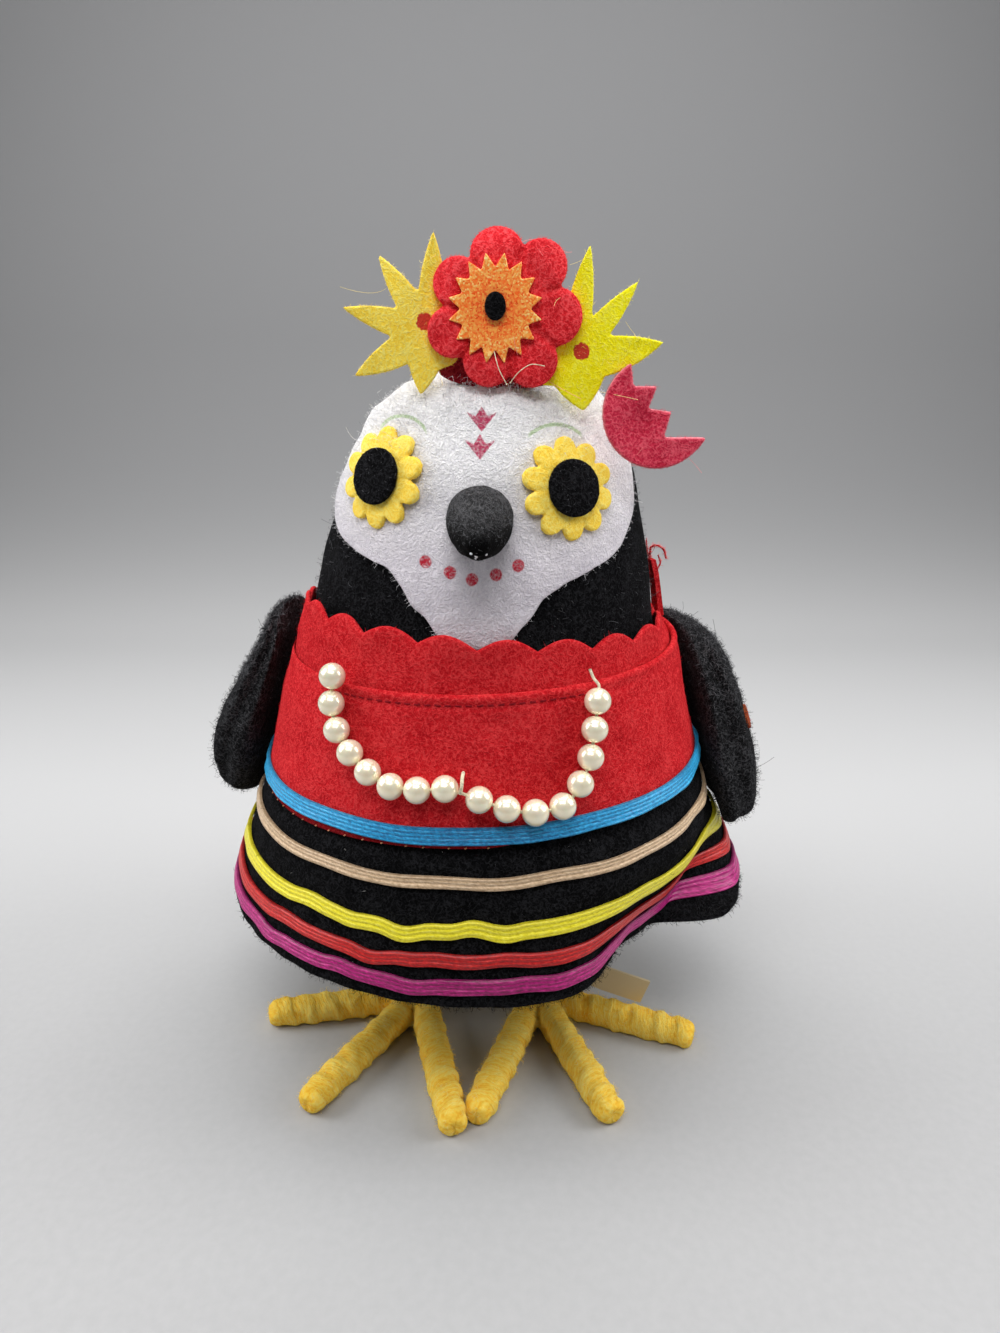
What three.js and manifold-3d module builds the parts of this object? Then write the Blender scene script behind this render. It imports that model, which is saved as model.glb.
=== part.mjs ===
// A stuffed felt bird in day of the dead dress, standing on two yarn-wrapped feet.
// Millimetres, +Z up. The bird faces -Y, and left and right are the viewer's, so right is +X.
import * as THREE from "three";
import { mergeVertices } from "three/addons/utils/BufferGeometryUtils.js";
import Module from "manifold-3d";

const wasm = await Module();
wasm.setup();

// Heights of the body and the dress
const CROWN = 146;
const COLLAR_PEAK = 102.6;
const COLLAR_FOOT = 90;
const BODICE_TOP = 93;
const WAIST = 68.4;
const BODICE_FOOT = 66.2;
const SKIRT_TOP = 71;
const HEM = 37;
const UNDERSIDE = 40;

// Radius of the stuffed body at each height, before the crown and the underside close it
const GIRTH = [
  [40, 41], [68, 42], [93, 36.8], [102, 35.4], [110, 33.9], [120, 31.3], [131, 29.5], [146, 27.4],
];
const CROWN_START = 110;
const CROWN_POWER = 4;
const SEAT_START = 66;
const SEAT_POWER = 3;
const HEAD_LEAN = 1.2; // the head sits this far to the right of the body's axis
const LEAN_HEIGHTS = [100, 126]; // between these heights the body bends over to it

// Radius of the outer face of the dress at each height, seen from the front
const DRESS = [[37, 53.4], [45, 51.6], [51, 50.3], [60, 48.3], [68.4, 46.5], [80, 43.8], [93.5, 41]];
const HEM_WIDENING = 0.045; // the hem is this much wider across than from front to back
const DRESS_TILT = [[37, -0.9], [45, 0], [60, 1.2], [93, 1.2]]; // how far the right side rises
const HEM_SHIFT = 0.9; // the hem hangs this far to the left

// The deep fold at the right front of the skirt, by height: its depth, and the angle of its right flank
const FOLD_DEPTH = [[37, 11], [41, 9.5], [45.5, 6.3], [51, 2.2], [56, 0]];
const FOLD_FLANK = [[37, 60], [41, 70], [45.5, 75]];
const FOLD_LEFT = [14, 44];
const FLANK_HALF = 8;
const FLARE = [[37, 3.2], [45.5, 2.5], [56, 0]];
const FLARE_FROM_FLANK = 18;
const FLARE_HALF = 24;

const FELT = 1.2;
const GAP = 0.3; // clearance between pieces that touch
const COLUMNS = 40; // facets round the body and the dress

const COLLAR = { inner: 1.8, outer: 2.8, tilt: 2.6, scallops: 22, depth: 2.2, firstNotch: -0.8 };

const RIBBON_THICKNESS = 0.5;
const RIBBONS = {
  ribbon_beige: { height: 60.1, width: 2.2, colour: "#c3a585" },
  ribbon_yellow: { height: 51.3, width: 3, colour: "#e3d733" },
  ribbon_red: { height: 45.7, width: 2.6, colour: "#d72f2a" },
  ribbon_magenta: { height: 41.2, width: 2.8, colour: "#c0338a" },
};
const BLUE_RIBBON = { height: WAIST, width: 3.2, colour: "#36a0d2" };

// The face is laid out from the head's centre: turn is the angle round the forward axis, from straight up
// towards the right, and spread is the angle away from the forward axis.
const HEAD_CENTRE = new THREE.Vector3(0, 0, 122);
const BELLY_LIMIT = 50; // nothing of the face is further than this from the head's centre
const MASK = { inner: 0.6, outer: 1.6, spokes: 36, rings: 6 };
const MASK_OUTLINE = [
  [0, 86], [20, 84], [38, 80], [52, 77], [66, 73], [80, 67], [92, 59.5], [104, 48.5], [116, 36.5],
  [128, 29.8], [142, 26.8], [156, 27.2], [172, 29], [190, 29], [210, 28.4], [229, 28.8], [242, 32],
  [250, 38.5], [257, 50], [266, 62], [280, 66], [294, 66], [308, 68], [322, 74], [340, 82],
];
const EYES = {
  left: { turn: 291, spread: 37.6 },
  right: { turn: 71.5, spread: 30.6 },
};
const EYE_FLOWER = { radius: 9.4, petals: 10, petalRadius: 2.8 };
const EYE_DISC_RADIUS = 5.1;
const BEAK = { height: 122.6, radius: 6, length: 14.5, droop: 9, root: 3 };

// Flowers of the crown: where each centre sits and the Y of the felt's front face, one layer before the other
const FLOWER_FELT = 1.4;
const BACKING_FRONT = -22.8;
const YELLOW_FRONT = BACKING_FRONT - GAP - FELT;
const RED_FRONT = YELLOW_FRONT - GAP - FLOWER_FELT;
const RED_FLOWER = {
  x: 4.5, z: 157.6, front: RED_FRONT,
  lobes: [
    [47, 8.8, 4.4], [100, 8.4, 4.6], [155, 8.9, 4.3], [204, 10, 4.3],
    [251, 9.2, 4.4], [297, 9.8, 4.5], [349, 8.3, 4.9],
  ],
};
const SUNBURST = {
  x: 2.7, z: 157.2, thickness: 0.8, points: 16, outer: 9, inner: 6.6,
  narrow: 0.9, // its width as a share of its height
  turned: 11.25, // degrees that its first point is turned from straight up
};
const FLOWER_CENTRE = { x: 2.7, z: 157.6, halfWidth: 1.8, halfHeight: 2.3, thickness: 0.5 };
const YELLOW_NOTCH = 6.4;
const PETAL_BELLY = 0.42; // how far each side of a pointed petal bows towards the notch
const YELLOW_LEFT = {
  x: -8.8, z: 153.6, front: YELLOW_FRONT,
  petals: [[86, 16], [124, 15], [165, 15.2], [211, 15.6], [259, 11.4], [305, 12], [350, 13], [38, 14]],
};
const YELLOW_RIGHT = {
  x: 16.6, z: 150, front: YELLOW_FRONT,
  petals: [[83, 17.6], [48, 15.8], [7, 15.3], [325, 12], [285, 9.6], [240, 11], [195, 12], [130, 14]],
};
const PINK_FLOWER = {
  x: 31.2, z: 140.2, front: RED_FRONT, radius: 9.7, roll: 42,
  edge: [[9.3, 2.6], [3.7, -2.4], [1.6, 1.6], [-1.7, -0.7], [-3.3, 3], [-6.3, 0.3], [-9.3, 2.7]],
};
const BACKING = { x: 4.5, z: 147.4, front: BACKING_FRONT, halfWidth: 12, halfHeight: 3.4 };

// The necklace hangs in a curve on the bodice: [angle round the body in degrees, height]
const PEARLS = 16;
const PEARL_RADIUS = 2.45;
const NECKLACE = [
  [-38, 94.4], [-36.8, 87], [-28.5, 80.3], [-18.5, 76.9], [-6, 77.6], [5, 74.4], [17, 73.6], [24.2, 79.8],
  [28.2, 91.2],
];
const NECKLACE_RADIUS = 46;
const BARE_THREAD = { after: 8, length: 1.2 }; // the thread shows after this pearl

// Each wing is a stuffed pad laid on the dress: its top and foot, its thickness, and the angles that it spans
const WINGS = {
  wing_left: { side: -1, top: 99.2, foot: 53.4, thickness: 13.2, shoulder: 0.42, from: 78, to: 121 },
  wing_right: { side: 1, top: 96.4, foot: 49, thickness: 11.8, shoulder: 0.62, from: 77, to: 121 },
};
const WING_CLEARANCE = 1.5; // from the dress, over its ribbons
const WING_SWEEP = 7; // degrees by which the tip sits further back than the shoulder
const WING_FULLEST = 0.7; // how far down a wing reaches its full thickness
// Powers that square the pad off: its ends, its swell from edge to middle, its face, its width and its edges
const WING_BLUNT = { ends: 0.85, swell: 0.7, face: 0.8, width: 0.6, edges: 0.75 };
const WING_PATCH = { turn: -28, rise: 0.02, radius: 3.2 };

// Feet: the hub under the leg, the toe tips, and the wrapped wire's radius
const TOE_RADIUS = 3.3;
const TOE_TIP_RADIUS = 2.7;
const TOE_END = 0.8;
const TOE_SIDES = 8;
const SOLE_CUT = 0.15; // how far the wrapping is pressed flat where a toe rests
const LEG_RADIUS = 3.3;
const HUB_RADIUS = 4.3;
const FEET = {
  foot_left: { hub: [-15.5, -3.5], toes: [[-48.7, -10.4], [-35.6, -37.6], [-6, -43.9], [-19, 23]] },
  foot_right: { hub: [12.2, -3.5], toes: [[-0.9, -40.8], [25.8, -40.6], [45.6, -17.4], [16.5, 23]] },
};

// The folded ribbon tag hangs from the underside, behind the right foot's outer toe
const TAG = {
  path: [[11, -9.5, 39], [12, -9.8, 29.5], [16.4, -10, 19.4], [25.4, -10, 13.4], [37.2, -10.4, 8.9]],
  width: 6,
  thickness: 0.7,
};
// The narrow felt strip that stands up behind the right shoulder
const NAPE_TIE = { angle: 104, width: 4, foot: 94.5, top: 107, lean: 1, topShare: 0.6 };

const MATERIALS = {
  blackFelt: new THREE.MeshStandardMaterial({ color: "#151517", roughness: 0.95 }),
  whiteFelt: new THREE.MeshStandardMaterial({ color: "#e4e1e6", roughness: 0.95 }),
  redFelt: new THREE.MeshStandardMaterial({ color: "#be1624", roughness: 0.95 }),
  darkRedFelt: new THREE.MeshStandardMaterial({ color: "#7c101a", roughness: 0.95 }),
  eyeYellowFelt: new THREE.MeshStandardMaterial({ color: "#f3ca3c", roughness: 0.95 }),
  warmYellowFelt: new THREE.MeshStandardMaterial({ color: "#efd050", roughness: 0.95 }),
  neonYellowFelt: new THREE.MeshStandardMaterial({ color: "#e1dc28", roughness: 0.95 }),
  pinkFelt: new THREE.MeshStandardMaterial({ color: "#be2850", roughness: 0.95 }),
  rustFelt: new THREE.MeshStandardMaterial({ color: "#8a3a1c", roughness: 0.95 }),
  glitter: new THREE.MeshStandardMaterial({ color: "#d77332", roughness: 0.5, metalness: 0.3 }),
  charcoal: new THREE.MeshStandardMaterial({ color: "#333334", roughness: 0.8 }),
  pearl: new THREE.MeshStandardMaterial({ color: "#f0e6c8", roughness: 0.25 }),
  yarn: new THREE.MeshStandardMaterial({ color: "#e1b43c", roughness: 0.95 }),
  satin: new THREE.MeshStandardMaterial({ color: "#e6d9b4", roughness: 0.5 }),
};

const radians = THREE.MathUtils.degToRad;
const degrees = THREE.MathUtils.radToDeg;

// A smooth curve through [x, y] points that never overshoots them, level beyond both ends.
function through(points) {
  const slope = points.slice(1).map(([x, y], i) => (y - points[i][1]) / (x - points[i][0]));
  const tangent = points.map((_, i) => {
    const before = slope[Math.max(i - 1, 0)];
    const after = slope[Math.min(i, slope.length - 1)];
    return before * after <= 0 ? 0 : (2 * before * after) / (before + after);
  });
  return (x) => {
    if (x <= points[0][0]) return points[0][1];
    if (x >= points.at(-1)[0]) return points.at(-1)[1];
    const i = points.findIndex(([next]) => next > x) - 1;
    const [x0, y0] = points[i];
    const [x1, y1] = points[i + 1];
    const width = x1 - x0;
    const t = (x - x0) / width;
    const rise = (3 - 2 * t) * t * t;
    return y0 + (y1 - y0) * rise + width * t * (1 - t) * (tangent[i] * (1 - t) - tangent[i + 1] * t);
  };
}

const girthAt = through(GIRTH);
const dressAt = through(DRESS);
const tiltAt = through(DRESS_TILT);
const foldDepthAt = through(FOLD_DEPTH);
const foldFlankAt = through(FOLD_FLANK);
const flareAt = through(FLARE);

const step = (value, from, to) => THREE.MathUtils.smoothstep(value, from, to);

const leanAt = (z) => HEAD_LEAN * step(z, ...LEAN_HEIGHTS);

// Radius of the stuffed body: the girth, closed by a rounded crown above and a rounded seat below.
function bodyRadius(z) {
  const up = THREE.MathUtils.clamp((z - CROWN_START) / (CROWN - CROWN_START), 0, 1);
  const down = THREE.MathUtils.clamp((SEAT_START - z) / (SEAT_START - UNDERSIDE), 0, 1);
  const crown = (1 - up ** CROWN_POWER) ** (1 / CROWN_POWER);
  const seat = (1 - down ** SEAT_POWER) ** (1 / SEAT_POWER);
  return girthAt(z) * crown * seat;
}

// How far the skirt's fold and flare move its face, at an angle in degrees and a height.
function foldAt(angle, z) {
  const flank = foldFlankAt(z);
  const inFold = step(angle, ...FOLD_LEFT) * (1 - step(angle, flank - FLANK_HALF, flank + FLANK_HALF));
  const fromFlare = Math.min(Math.abs(angle - flank - FLARE_FROM_FLANK) / FLARE_HALF, 1);
  return -foldDepthAt(z) * inFold + flareAt(z) * Math.cos((fromFlare * Math.PI) / 2) ** 2;
}

// A point of the dress, at an angle in radians from the front, this far outside its outer face.
function dressPoint(angle, offset, height) {
  const z = height + tiltAt(height) * Math.sin(angle);
  const r = dressAt(z) + foldAt(degrees(angle), height) + offset;
  const low = step(WAIST - z, 0, WAIST - HEM);
  const x = r * Math.sin(angle) * (1 + HEM_WIDENING * low) - HEM_SHIFT * low;
  return new THREE.Vector3(x, -r * Math.cos(angle), z);
}

// Moves each vertex of a geometry to where place() puts it.
function warped(geometry, place) {
  const position = geometry.getAttribute("position");
  const point = new THREE.Vector3();
  for (let i = 0; i < position.count; i++) {
    const moved = place(point.fromBufferAttribute(position, i));
    position.setXYZ(i, moved.x, moved.y, moved.z);
  }
  return geometry;
}

// A closed surface made of rows of points, each row joined to the next and the last back to the first. Its
// squares are all cut the same way, by whether their side rises, so that one band lies flat on another.
function band(section, columns, place, start = 0) {
  const vertices = [];
  for (let i = 0; i < columns; i++) {
    const turn = start + (i * 2 * Math.PI) / columns;
    const angle = turn > Math.PI ? turn - 2 * Math.PI : turn;
    for (const [offset, height] of section) vertices.push(...place(angle, offset, height).toArray());
  }
  const rows = section.length;
  const at = (column, row) => (column % columns) * rows + (row % rows);
  const triangles = [];
  for (let i = 0; i < columns; i++) {
    for (let j = 0; j < rows; j++) {
      const [a, b, c, d] = [at(i, j), at(i + 1, j), at(i + 1, j + 1), at(i, j + 1)];
      const rises = section[(j + 1) % rows][1] >= section[j][1];
      triangles.push(...(rises ? [a, b, d, c, d, b] : [a, b, c, a, c, d]));
    }
  }
  return meshOf(vertices, triangles);
}

function meshOf(vertices, triangles) {
  const geometry = new THREE.BufferGeometry();
  geometry.setAttribute("position", new THREE.Float32BufferAttribute(vertices, 3));
  geometry.setIndex(triangles);
  return geometry;
}

// Rows of the rounded ends crowd together where the ends turn over; shares are in degrees of a quarter turn.
const SEAT_ROWS = [24, 40, 52, 65, 79];
const MIDDLE_ROWS = [SEAT_START, 80, BODICE_TOP, 102, CROWN_START];
const CROWN_ROWS = [20, 34, 46, 57, 68, 80];

function bodyGeometry() {
  const seat = SEAT_ROWS.map((share) => SEAT_START - (SEAT_START - UNDERSIDE) * Math.cos(radians(share)));
  const crown = CROWN_ROWS.map((share) => CROWN_START + (CROWN - CROWN_START) * Math.sin(radians(share)));
  const profile = [...seat, ...MIDDLE_ROWS, ...crown].map((z) => new THREE.Vector2(bodyRadius(z), z));
  const closed = [new THREE.Vector2(0, UNDERSIDE), ...profile, new THREE.Vector2(0, CROWN)];
  const geometry = new THREE.LatheGeometry(closed, COLUMNS).rotateX(Math.PI / 2);
  return warped(geometry, (p) => p.setX(p.x + leanAt(p.z)));
}

function bodiceGeometry() {
  const heights = [BODICE_FOOT, 80, BODICE_TOP];
  const outer = heights.map((z) => [0, z]);
  const inner = heights.toReversed().map((z) => [-FELT, z]);
  return band([...outer, ...inner], COLUMNS, dressPoint);
}

const ribbonEdges = ({ height, width }) => [height - width / 2, height + width / 2];

// The skirt has a row of facets under each ribbon, so that the ribbons lie flat on it.
function skirtGeometry() {
  const rows = Object.values(RIBBONS).flatMap(ribbonEdges).sort((a, b) => a - b);
  const [magentaFoot, , redFoot] = rows;
  const tuck = FELT + GAP;
  const outer = [HEM, ...rows].map((z) => [0, z]);
  const inner = [rows.at(-1), redFoot, magentaFoot, HEM].map((z) => [-tuck, z]);
  const waist = [[-tuck, BODICE_FOOT - GAP], [-tuck, SKIRT_TOP], [-tuck - FELT, SKIRT_TOP]];
  return band([...outer, ...waist, ...inner], COLUMNS, dressPoint);
}

function ribbonGeometry(ribbon) {
  const [low, high] = ribbonEdges(ribbon);
  const inner = GAP;
  const outer = GAP + RIBBON_THICKNESS;
  return band([[outer, low], [outer, high], [inner, high], [inner, low]], COLUMNS, dressPoint);
}

// The collar's top edge is a row of round scallops with sharp notches.
function collarGeometry() {
  const { inner, outer, tilt, scallops, depth, firstNotch } = COLLAR;
  const start = radians(firstNotch);
  const place = (angle, offset, share) => {
    const lobe = Math.abs(Math.sin(((angle - start) * scallops) / 2));
    const top = COLLAR_PEAK - depth * (1 - lobe) - tilt * Math.sin(angle);
    const z = THREE.MathUtils.lerp(COLLAR_FOOT, top, share);
    const r = bodyRadius(z) + offset;
    return new THREE.Vector3(r * Math.sin(angle), -r * Math.cos(angle), z);
  };
  return band([[outer, 0], [outer, 1], [inner, 1], [inner, 0]], scallops * 4, place, start);
}

// Distance from the head's centre to the body's surface along a direction.
function reach(direction) {
  const halvings = 40;
  let low = 0;
  let high = BELLY_LIMIT;
  for (let i = 0; i < halvings; i++) {
    const middle = (low + high) / 2;
    const p = direction.clone().multiplyScalar(middle).add(HEAD_CENTRE);
    const inside = p.z < CROWN && Math.hypot(p.x - leanAt(p.z), p.y) < bodyRadius(p.z);
    if (inside) low = middle;
    else high = middle;
  }
  return low;
}

// A point of the face, this far outside the head's surface.
function facePoint(turn, spread, offset) {
  const side = Math.sin(radians(spread));
  const direction = new THREE.Vector3(
    side * Math.sin(radians(turn)),
    -Math.cos(radians(spread)),
    side * Math.cos(radians(turn)),
  );
  return direction.multiplyScalar(reach(direction) + offset).add(HEAD_CENTRE);
}

// How far the mask's edge spreads at each turn, as a smooth closed curve.
function maskEdge(turn) {
  const shifted = (points, by) => points.map(([at, spread]) => [at + by, spread]);
  const before = shifted(MASK_OUTLINE.slice(-2), -360);
  const after = shifted(MASK_OUTLINE.slice(0, 2), 360);
  return through([...before, ...MASK_OUTLINE, ...after])(turn);
}

// The mask is a grid of spokes and rings, doubled into an outer and an inner face and closed at its edge.
function maskGeometry() {
  const { inner, outer, spokes, rings } = MASK;
  const vertices = [];
  const layers = [outer, inner];
  for (const offset of layers) {
    vertices.push(...facePoint(0, 0, offset).toArray());
    for (let ring = 1; ring <= rings; ring++) {
      for (let i = 0; i < spokes; i++) {
        const turn = (i * 360) / spokes;
        vertices.push(...facePoint(turn, (maskEdge(turn) * ring) / rings, offset).toArray());
      }
    }
  }
  const perLayer = 1 + rings * spokes;
  const at = (layer, ring, i) => layer * perLayer + 1 + ring * spokes + (i % spokes);
  const triangles = [];
  const quad = (a, b, c, d) => triangles.push(a, b, c, a, c, d);
  for (let i = 0; i < spokes; i++) {
    triangles.push(0, at(0, 0, i + 1), at(0, 0, i));
    triangles.push(perLayer, at(1, 0, i), at(1, 0, i + 1));
    for (let ring = 0; ring + 1 < rings; ring++) {
      quad(at(0, ring, i), at(0, ring, i + 1), at(0, ring + 1, i + 1), at(0, ring + 1, i));
      quad(at(1, ring, i + 1), at(1, ring, i), at(1, ring + 1, i), at(1, ring + 1, i + 1));
    }
    const last = rings - 1;
    quad(at(0, last, i), at(0, last, i + 1), at(1, last, i + 1), at(1, last, i));
  }
  return meshOf(vertices, triangles);
}

// A matrix whose +Z is the face's outward normal at a place, with its origin this far out from the head.
function faceFrame({ turn, spread }, offset) {
  const nudge = 4;
  const sweep = nudge / Math.sin(radians(spread));
  const centre = facePoint(turn, spread, offset);
  const along = facePoint(turn, spread + nudge, offset).sub(facePoint(turn, spread - nudge, offset));
  const across = facePoint(turn + sweep, spread, offset).sub(facePoint(turn - sweep, spread, offset));
  const normal = new THREE.Vector3().crossVectors(across, along).normalize();
  const right = new THREE.Vector3().crossVectors(new THREE.Vector3(0, 0, 1), normal).normalize();
  const up = new THREE.Vector3().crossVectors(normal, right);
  return new THREE.Matrix4().makeBasis(right, up, normal).setPosition(centre);
}

const flat = (shape, depth, curveSegments) =>
  new THREE.ExtrudeGeometry(shape, { depth, bevelEnabled: false, curveSegments });

// The two places where circles a and b cross.
function crossings(a, b) {
  const apart = Math.hypot(b.x - a.x, b.y - a.y);
  const along = (a.r ** 2 - b.r ** 2 + apart ** 2) / (2 * apart);
  const aside = Math.sqrt(Math.max(a.r ** 2 - along ** 2, 0));
  const [ux, uy] = [(b.x - a.x) / apart, (b.y - a.y) / apart];
  return [1, -1].map((way) => new THREE.Vector2(
    a.x + ux * along - way * uy * aside,
    a.y + uy * along + way * ux * aside,
  ));
}

// A flower outline of round lobes, each given by its angle, the distance of its centre and its radius.
function lobedShape(lobes, pointsPerLobe) {
  const circles = lobes.map(([angle, distance, r]) => (
    { x: distance * Math.cos(radians(angle)), y: distance * Math.sin(radians(angle)), r }
  ));
  const notch = (i) => {
    const pair = [circles[i % circles.length], circles[(i + 1) % circles.length]];
    const [first, second] = crossings(...pair);
    return first.length() > second.length() ? first : second;
  };
  const points = circles.flatMap((circle, i) => {
    const before = notch(i + circles.length - 1);
    const after = notch(i);
    const from = Math.atan2(before.y - circle.y, before.x - circle.x);
    const until = Math.atan2(after.y - circle.y, after.x - circle.x);
    const sweep = until > from ? until - from : until - from + 2 * Math.PI;
    return Array.from({ length: pointsPerLobe }, (_, k) => {
      const turn = from + (sweep * k) / pointsPerLobe;
      return new THREE.Vector2(circle.x + circle.r * Math.cos(turn), circle.y + circle.r * Math.sin(turn));
    });
  });
  return new THREE.Shape(points);
}

// Lobes of one size, evenly spaced.
const evenLobes = (count, distance, radius) =>
  Array.from({ length: count }, (_, i) => [90 + (i * 360) / count, distance, radius]);

// A flower outline of pointed petals, each given by its angle and length, with even notches between them.
function pointedShape(petals, notchRadius) {
  const ordered = petals.toSorted((a, b) => a[0] - b[0]);
  const polar = (angle, r) => [r * Math.cos(radians(angle)), r * Math.sin(radians(angle))];
  const notchAfter = (i) => {
    const [angle] = ordered[i];
    const next = i + 1 < ordered.length ? ordered[i + 1][0] : ordered[0][0] + 360;
    return (angle + next) / 2;
  };
  const shape = new THREE.Shape();
  shape.moveTo(...polar(notchAfter(ordered.length - 1), notchRadius));
  ordered.forEach(([angle, length], i) => {
    const notch = notchAfter(i);
    const before = notchAfter((i + ordered.length - 1) % ordered.length) - (i === 0 ? 360 : 0);
    const belly = (notchRadius + length) / 2;
    const bend = (side) => polar(THREE.MathUtils.lerp(angle, side, PETAL_BELLY), belly);
    shape.quadraticCurveTo(...bend(before), ...polar(angle, length));
    shape.quadraticCurveTo(...bend(notch), ...polar(notch, notchRadius));
  });
  return shape;
}

function starShape({ points, outer, inner, narrow, turned }) {
  const corners = [];
  for (let i = 0; i < points * 2; i++) {
    const turn = radians(90 + turned) + (i * Math.PI) / points;
    const r = i % 2 ? inner : outer;
    corners.push(new THREE.Vector2(narrow * r * Math.cos(turn), r * Math.sin(turn)));
  }
  return new THREE.Shape(corners);
}

// Most of a disc, with an edge of pointed teeth and notches across its top.
function halfRosetteShape({ radius, edge }) {
  const [first, ...others] = edge;
  const last = others.at(-1);
  const shape = new THREE.Shape();
  const start = Math.atan2(last[1], last[0]);
  shape.absarc(0, 0, radius, start, Math.atan2(first[1], first[0]) + 2 * Math.PI, false);
  edge.slice(1, -1).forEach((corner) => shape.lineTo(...corner));
  return shape;
}

function ovalShape(halfWidth, halfHeight) {
  return new THREE.Shape().absellipse(0, 0, halfWidth, halfHeight, 0, 2 * Math.PI, false);
}

const meshes = new Map();

function add(name, geometry, material) {
  const mesh = new THREE.Mesh(geometry, MATERIALS[material]);
  mesh.name = name;
  meshes.set(name, mesh);
  return mesh;
}

// Stands a flat shape upright, with its front face at the given Y; roll turns it clockwise, in degrees.
function stand(mesh, { x, z, front, roll = 0 }, thickness) {
  mesh.rotation.set(Math.PI / 2, 0, radians(-roll), "XYZ");
  mesh.position.set(x, front + thickness, z);
}

function placeOnFace(mesh, place, offset) {
  mesh.applyMatrix4(faceFrame(place, offset));
  return mesh;
}

// The beak is a blunt cone that droops a little, its back cut to the face that it is glued on.
function beakGeometry() {
  const { height, radius, length, droop, root } = BEAK;
  const bulge = [[1, 0], [0.98, 0.2], [0.87, 0.46], [0.66, 0.72], [0.36, 0.93], [0, 1]];
  const front = bulge.map(([wide, along]) => new THREE.Vector2(radius * wide, root + along * length));
  const back = [new THREE.Vector2(0, 0), new THREE.Vector2(radius, 0)];
  const cone = new THREE.LatheGeometry([...back, ...front], 10);
  const base = facePoint(0, 0, MASK.outer);
  cone.rotateX(Math.PI + radians(droop)).translate(base.x, base.y + root, height);
  return subtract(cone, headSkin(MASK.outer + GAP));
}

// A closed skin round the head, this far outside it, for trimming what is glued to the face.
function headSkin(offset) {
  const geometry = new THREE.SphereGeometry(1, 40, 28).rotateX(Math.PI / 2);
  return warped(geometry, (p) => {
    const direction = p.clone().normalize();
    return direction.clone().multiplyScalar(reach(direction) + offset).add(HEAD_CENTRE);
  });
}

function solidOf(geometry) {
  const bare = geometry.clone();
  bare.deleteAttribute("normal");
  bare.deleteAttribute("uv");
  const merged = mergeVertices(bare, 1e-4);
  const mesh = new wasm.Mesh({
    numProp: 3,
    vertProperties: merged.attributes.position.array,
    triVerts: new Uint32Array(merged.index.array),
  });
  return new wasm.Manifold(mesh);
}

function geometryOf(solid) {
  const { vertProperties, triVerts } = solid.getMesh();
  const geometry = new THREE.BufferGeometry();
  geometry.setAttribute("position", new THREE.BufferAttribute(vertProperties, 3));
  geometry.setIndex(new THREE.BufferAttribute(triVerts, 1));
  return geometry;
}

const subtract = (a, b) => geometryOf(solidOf(a).subtract(solidOf(b)));

const squared = (value, power) => Math.sign(value) * Math.abs(value) ** power;

// Where a point of the unit ball goes on a wing: its X becomes the thickness, its Y the way round the body
// and its Z the height.
function wingPoint({ side, top, foot, thickness, shoulder, from, to }, ball) {
  const z = THREE.MathUtils.lerp(foot, top, 0.5 + 0.5 * squared(ball.z, WING_BLUNT.ends));
  const low = (top - z) / (top - foot);
  const full = Math.sqrt(Math.max(1 - ball.z * ball.z, 0));
  const turn = Math.atan2(ball.y, ball.x);
  const taper = THREE.MathUtils.lerp(shoulder, 1, step(low, 0, WING_FULLEST));
  const swell = thickness * squared(full, WING_BLUNT.swell) * taper;
  const out = WING_CLEARANCE + swell * (0.5 + 0.5 * squared(Math.cos(turn), WING_BLUNT.face));
  const across = squared(full, WING_BLUNT.width) * squared(Math.sin(turn), WING_BLUNT.edges);
  const middle = (from + to) / 2 + WING_SWEEP * (low - 0.5);
  const angle = radians(side * middle + 0.5 * (to - from) * across);
  return dressPoint(angle, out, z - tiltAt(z) * Math.sin(angle));
}

function wingGeometry(wing) {
  const ball = new THREE.SphereGeometry(1, 14, 10).rotateX(Math.PI / 2);
  return warped(ball, (p) => wingPoint(wing, p));
}

// The round trim lies flat on the outer face of the right wing.
function wingPatchGeometry({ turn, rise, radius }) {
  const onFace = (turned, risen) => {
    const side = Math.sqrt(1 - risen * risen);
    const ball = new THREE.Vector3(side * Math.cos(turned), side * Math.sin(turned), risen);
    return wingPoint(WINGS.wing_right, ball);
  };
  const nudge = 0.1;
  const centre = onFace(radians(turn), rise);
  const across = onFace(radians(turn) + nudge, rise).sub(centre).normalize();
  const up = onFace(radians(turn), rise + nudge).sub(centre);
  const normal = new THREE.Vector3().crossVectors(across, up).normalize();
  const upright = new THREE.Vector3().crossVectors(normal, across);
  const frame = new THREE.Matrix4().makeBasis(across, upright, normal);
  frame.setPosition(centre.addScaledVector(normal, GAP));
  return flat(ovalShape(radius, radius), FELT, 5).applyMatrix4(frame);
}

// A wrapped toe: a blunt rod of eight sides, from the hub to its tip.
function toeGeometry([x0, y0], [x1, y1]) {
  const length = Math.hypot(x1 - x0, y1 - y0);
  const taperFrom = 0.8 * length;
  const profile = [
    [0, 0], [TOE_RADIUS, 0], [TOE_RADIUS, taperFrom],
    [TOE_TIP_RADIUS, length - TOE_END], [0, length + TOE_END],
  ];
  const rod = new THREE.LatheGeometry(profile.map(([r, s]) => new THREE.Vector2(r, s)), TOE_SIDES);
  rod.rotateY(Math.PI / TOE_SIDES).rotateZ(Math.atan2(y1 - y0, x1 - x0) - Math.PI / 2);
  return rod.translate(x0, y0, TOE_RADIUS * Math.cos(Math.PI / TOE_SIDES) - SOLE_CUT);
}

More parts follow.
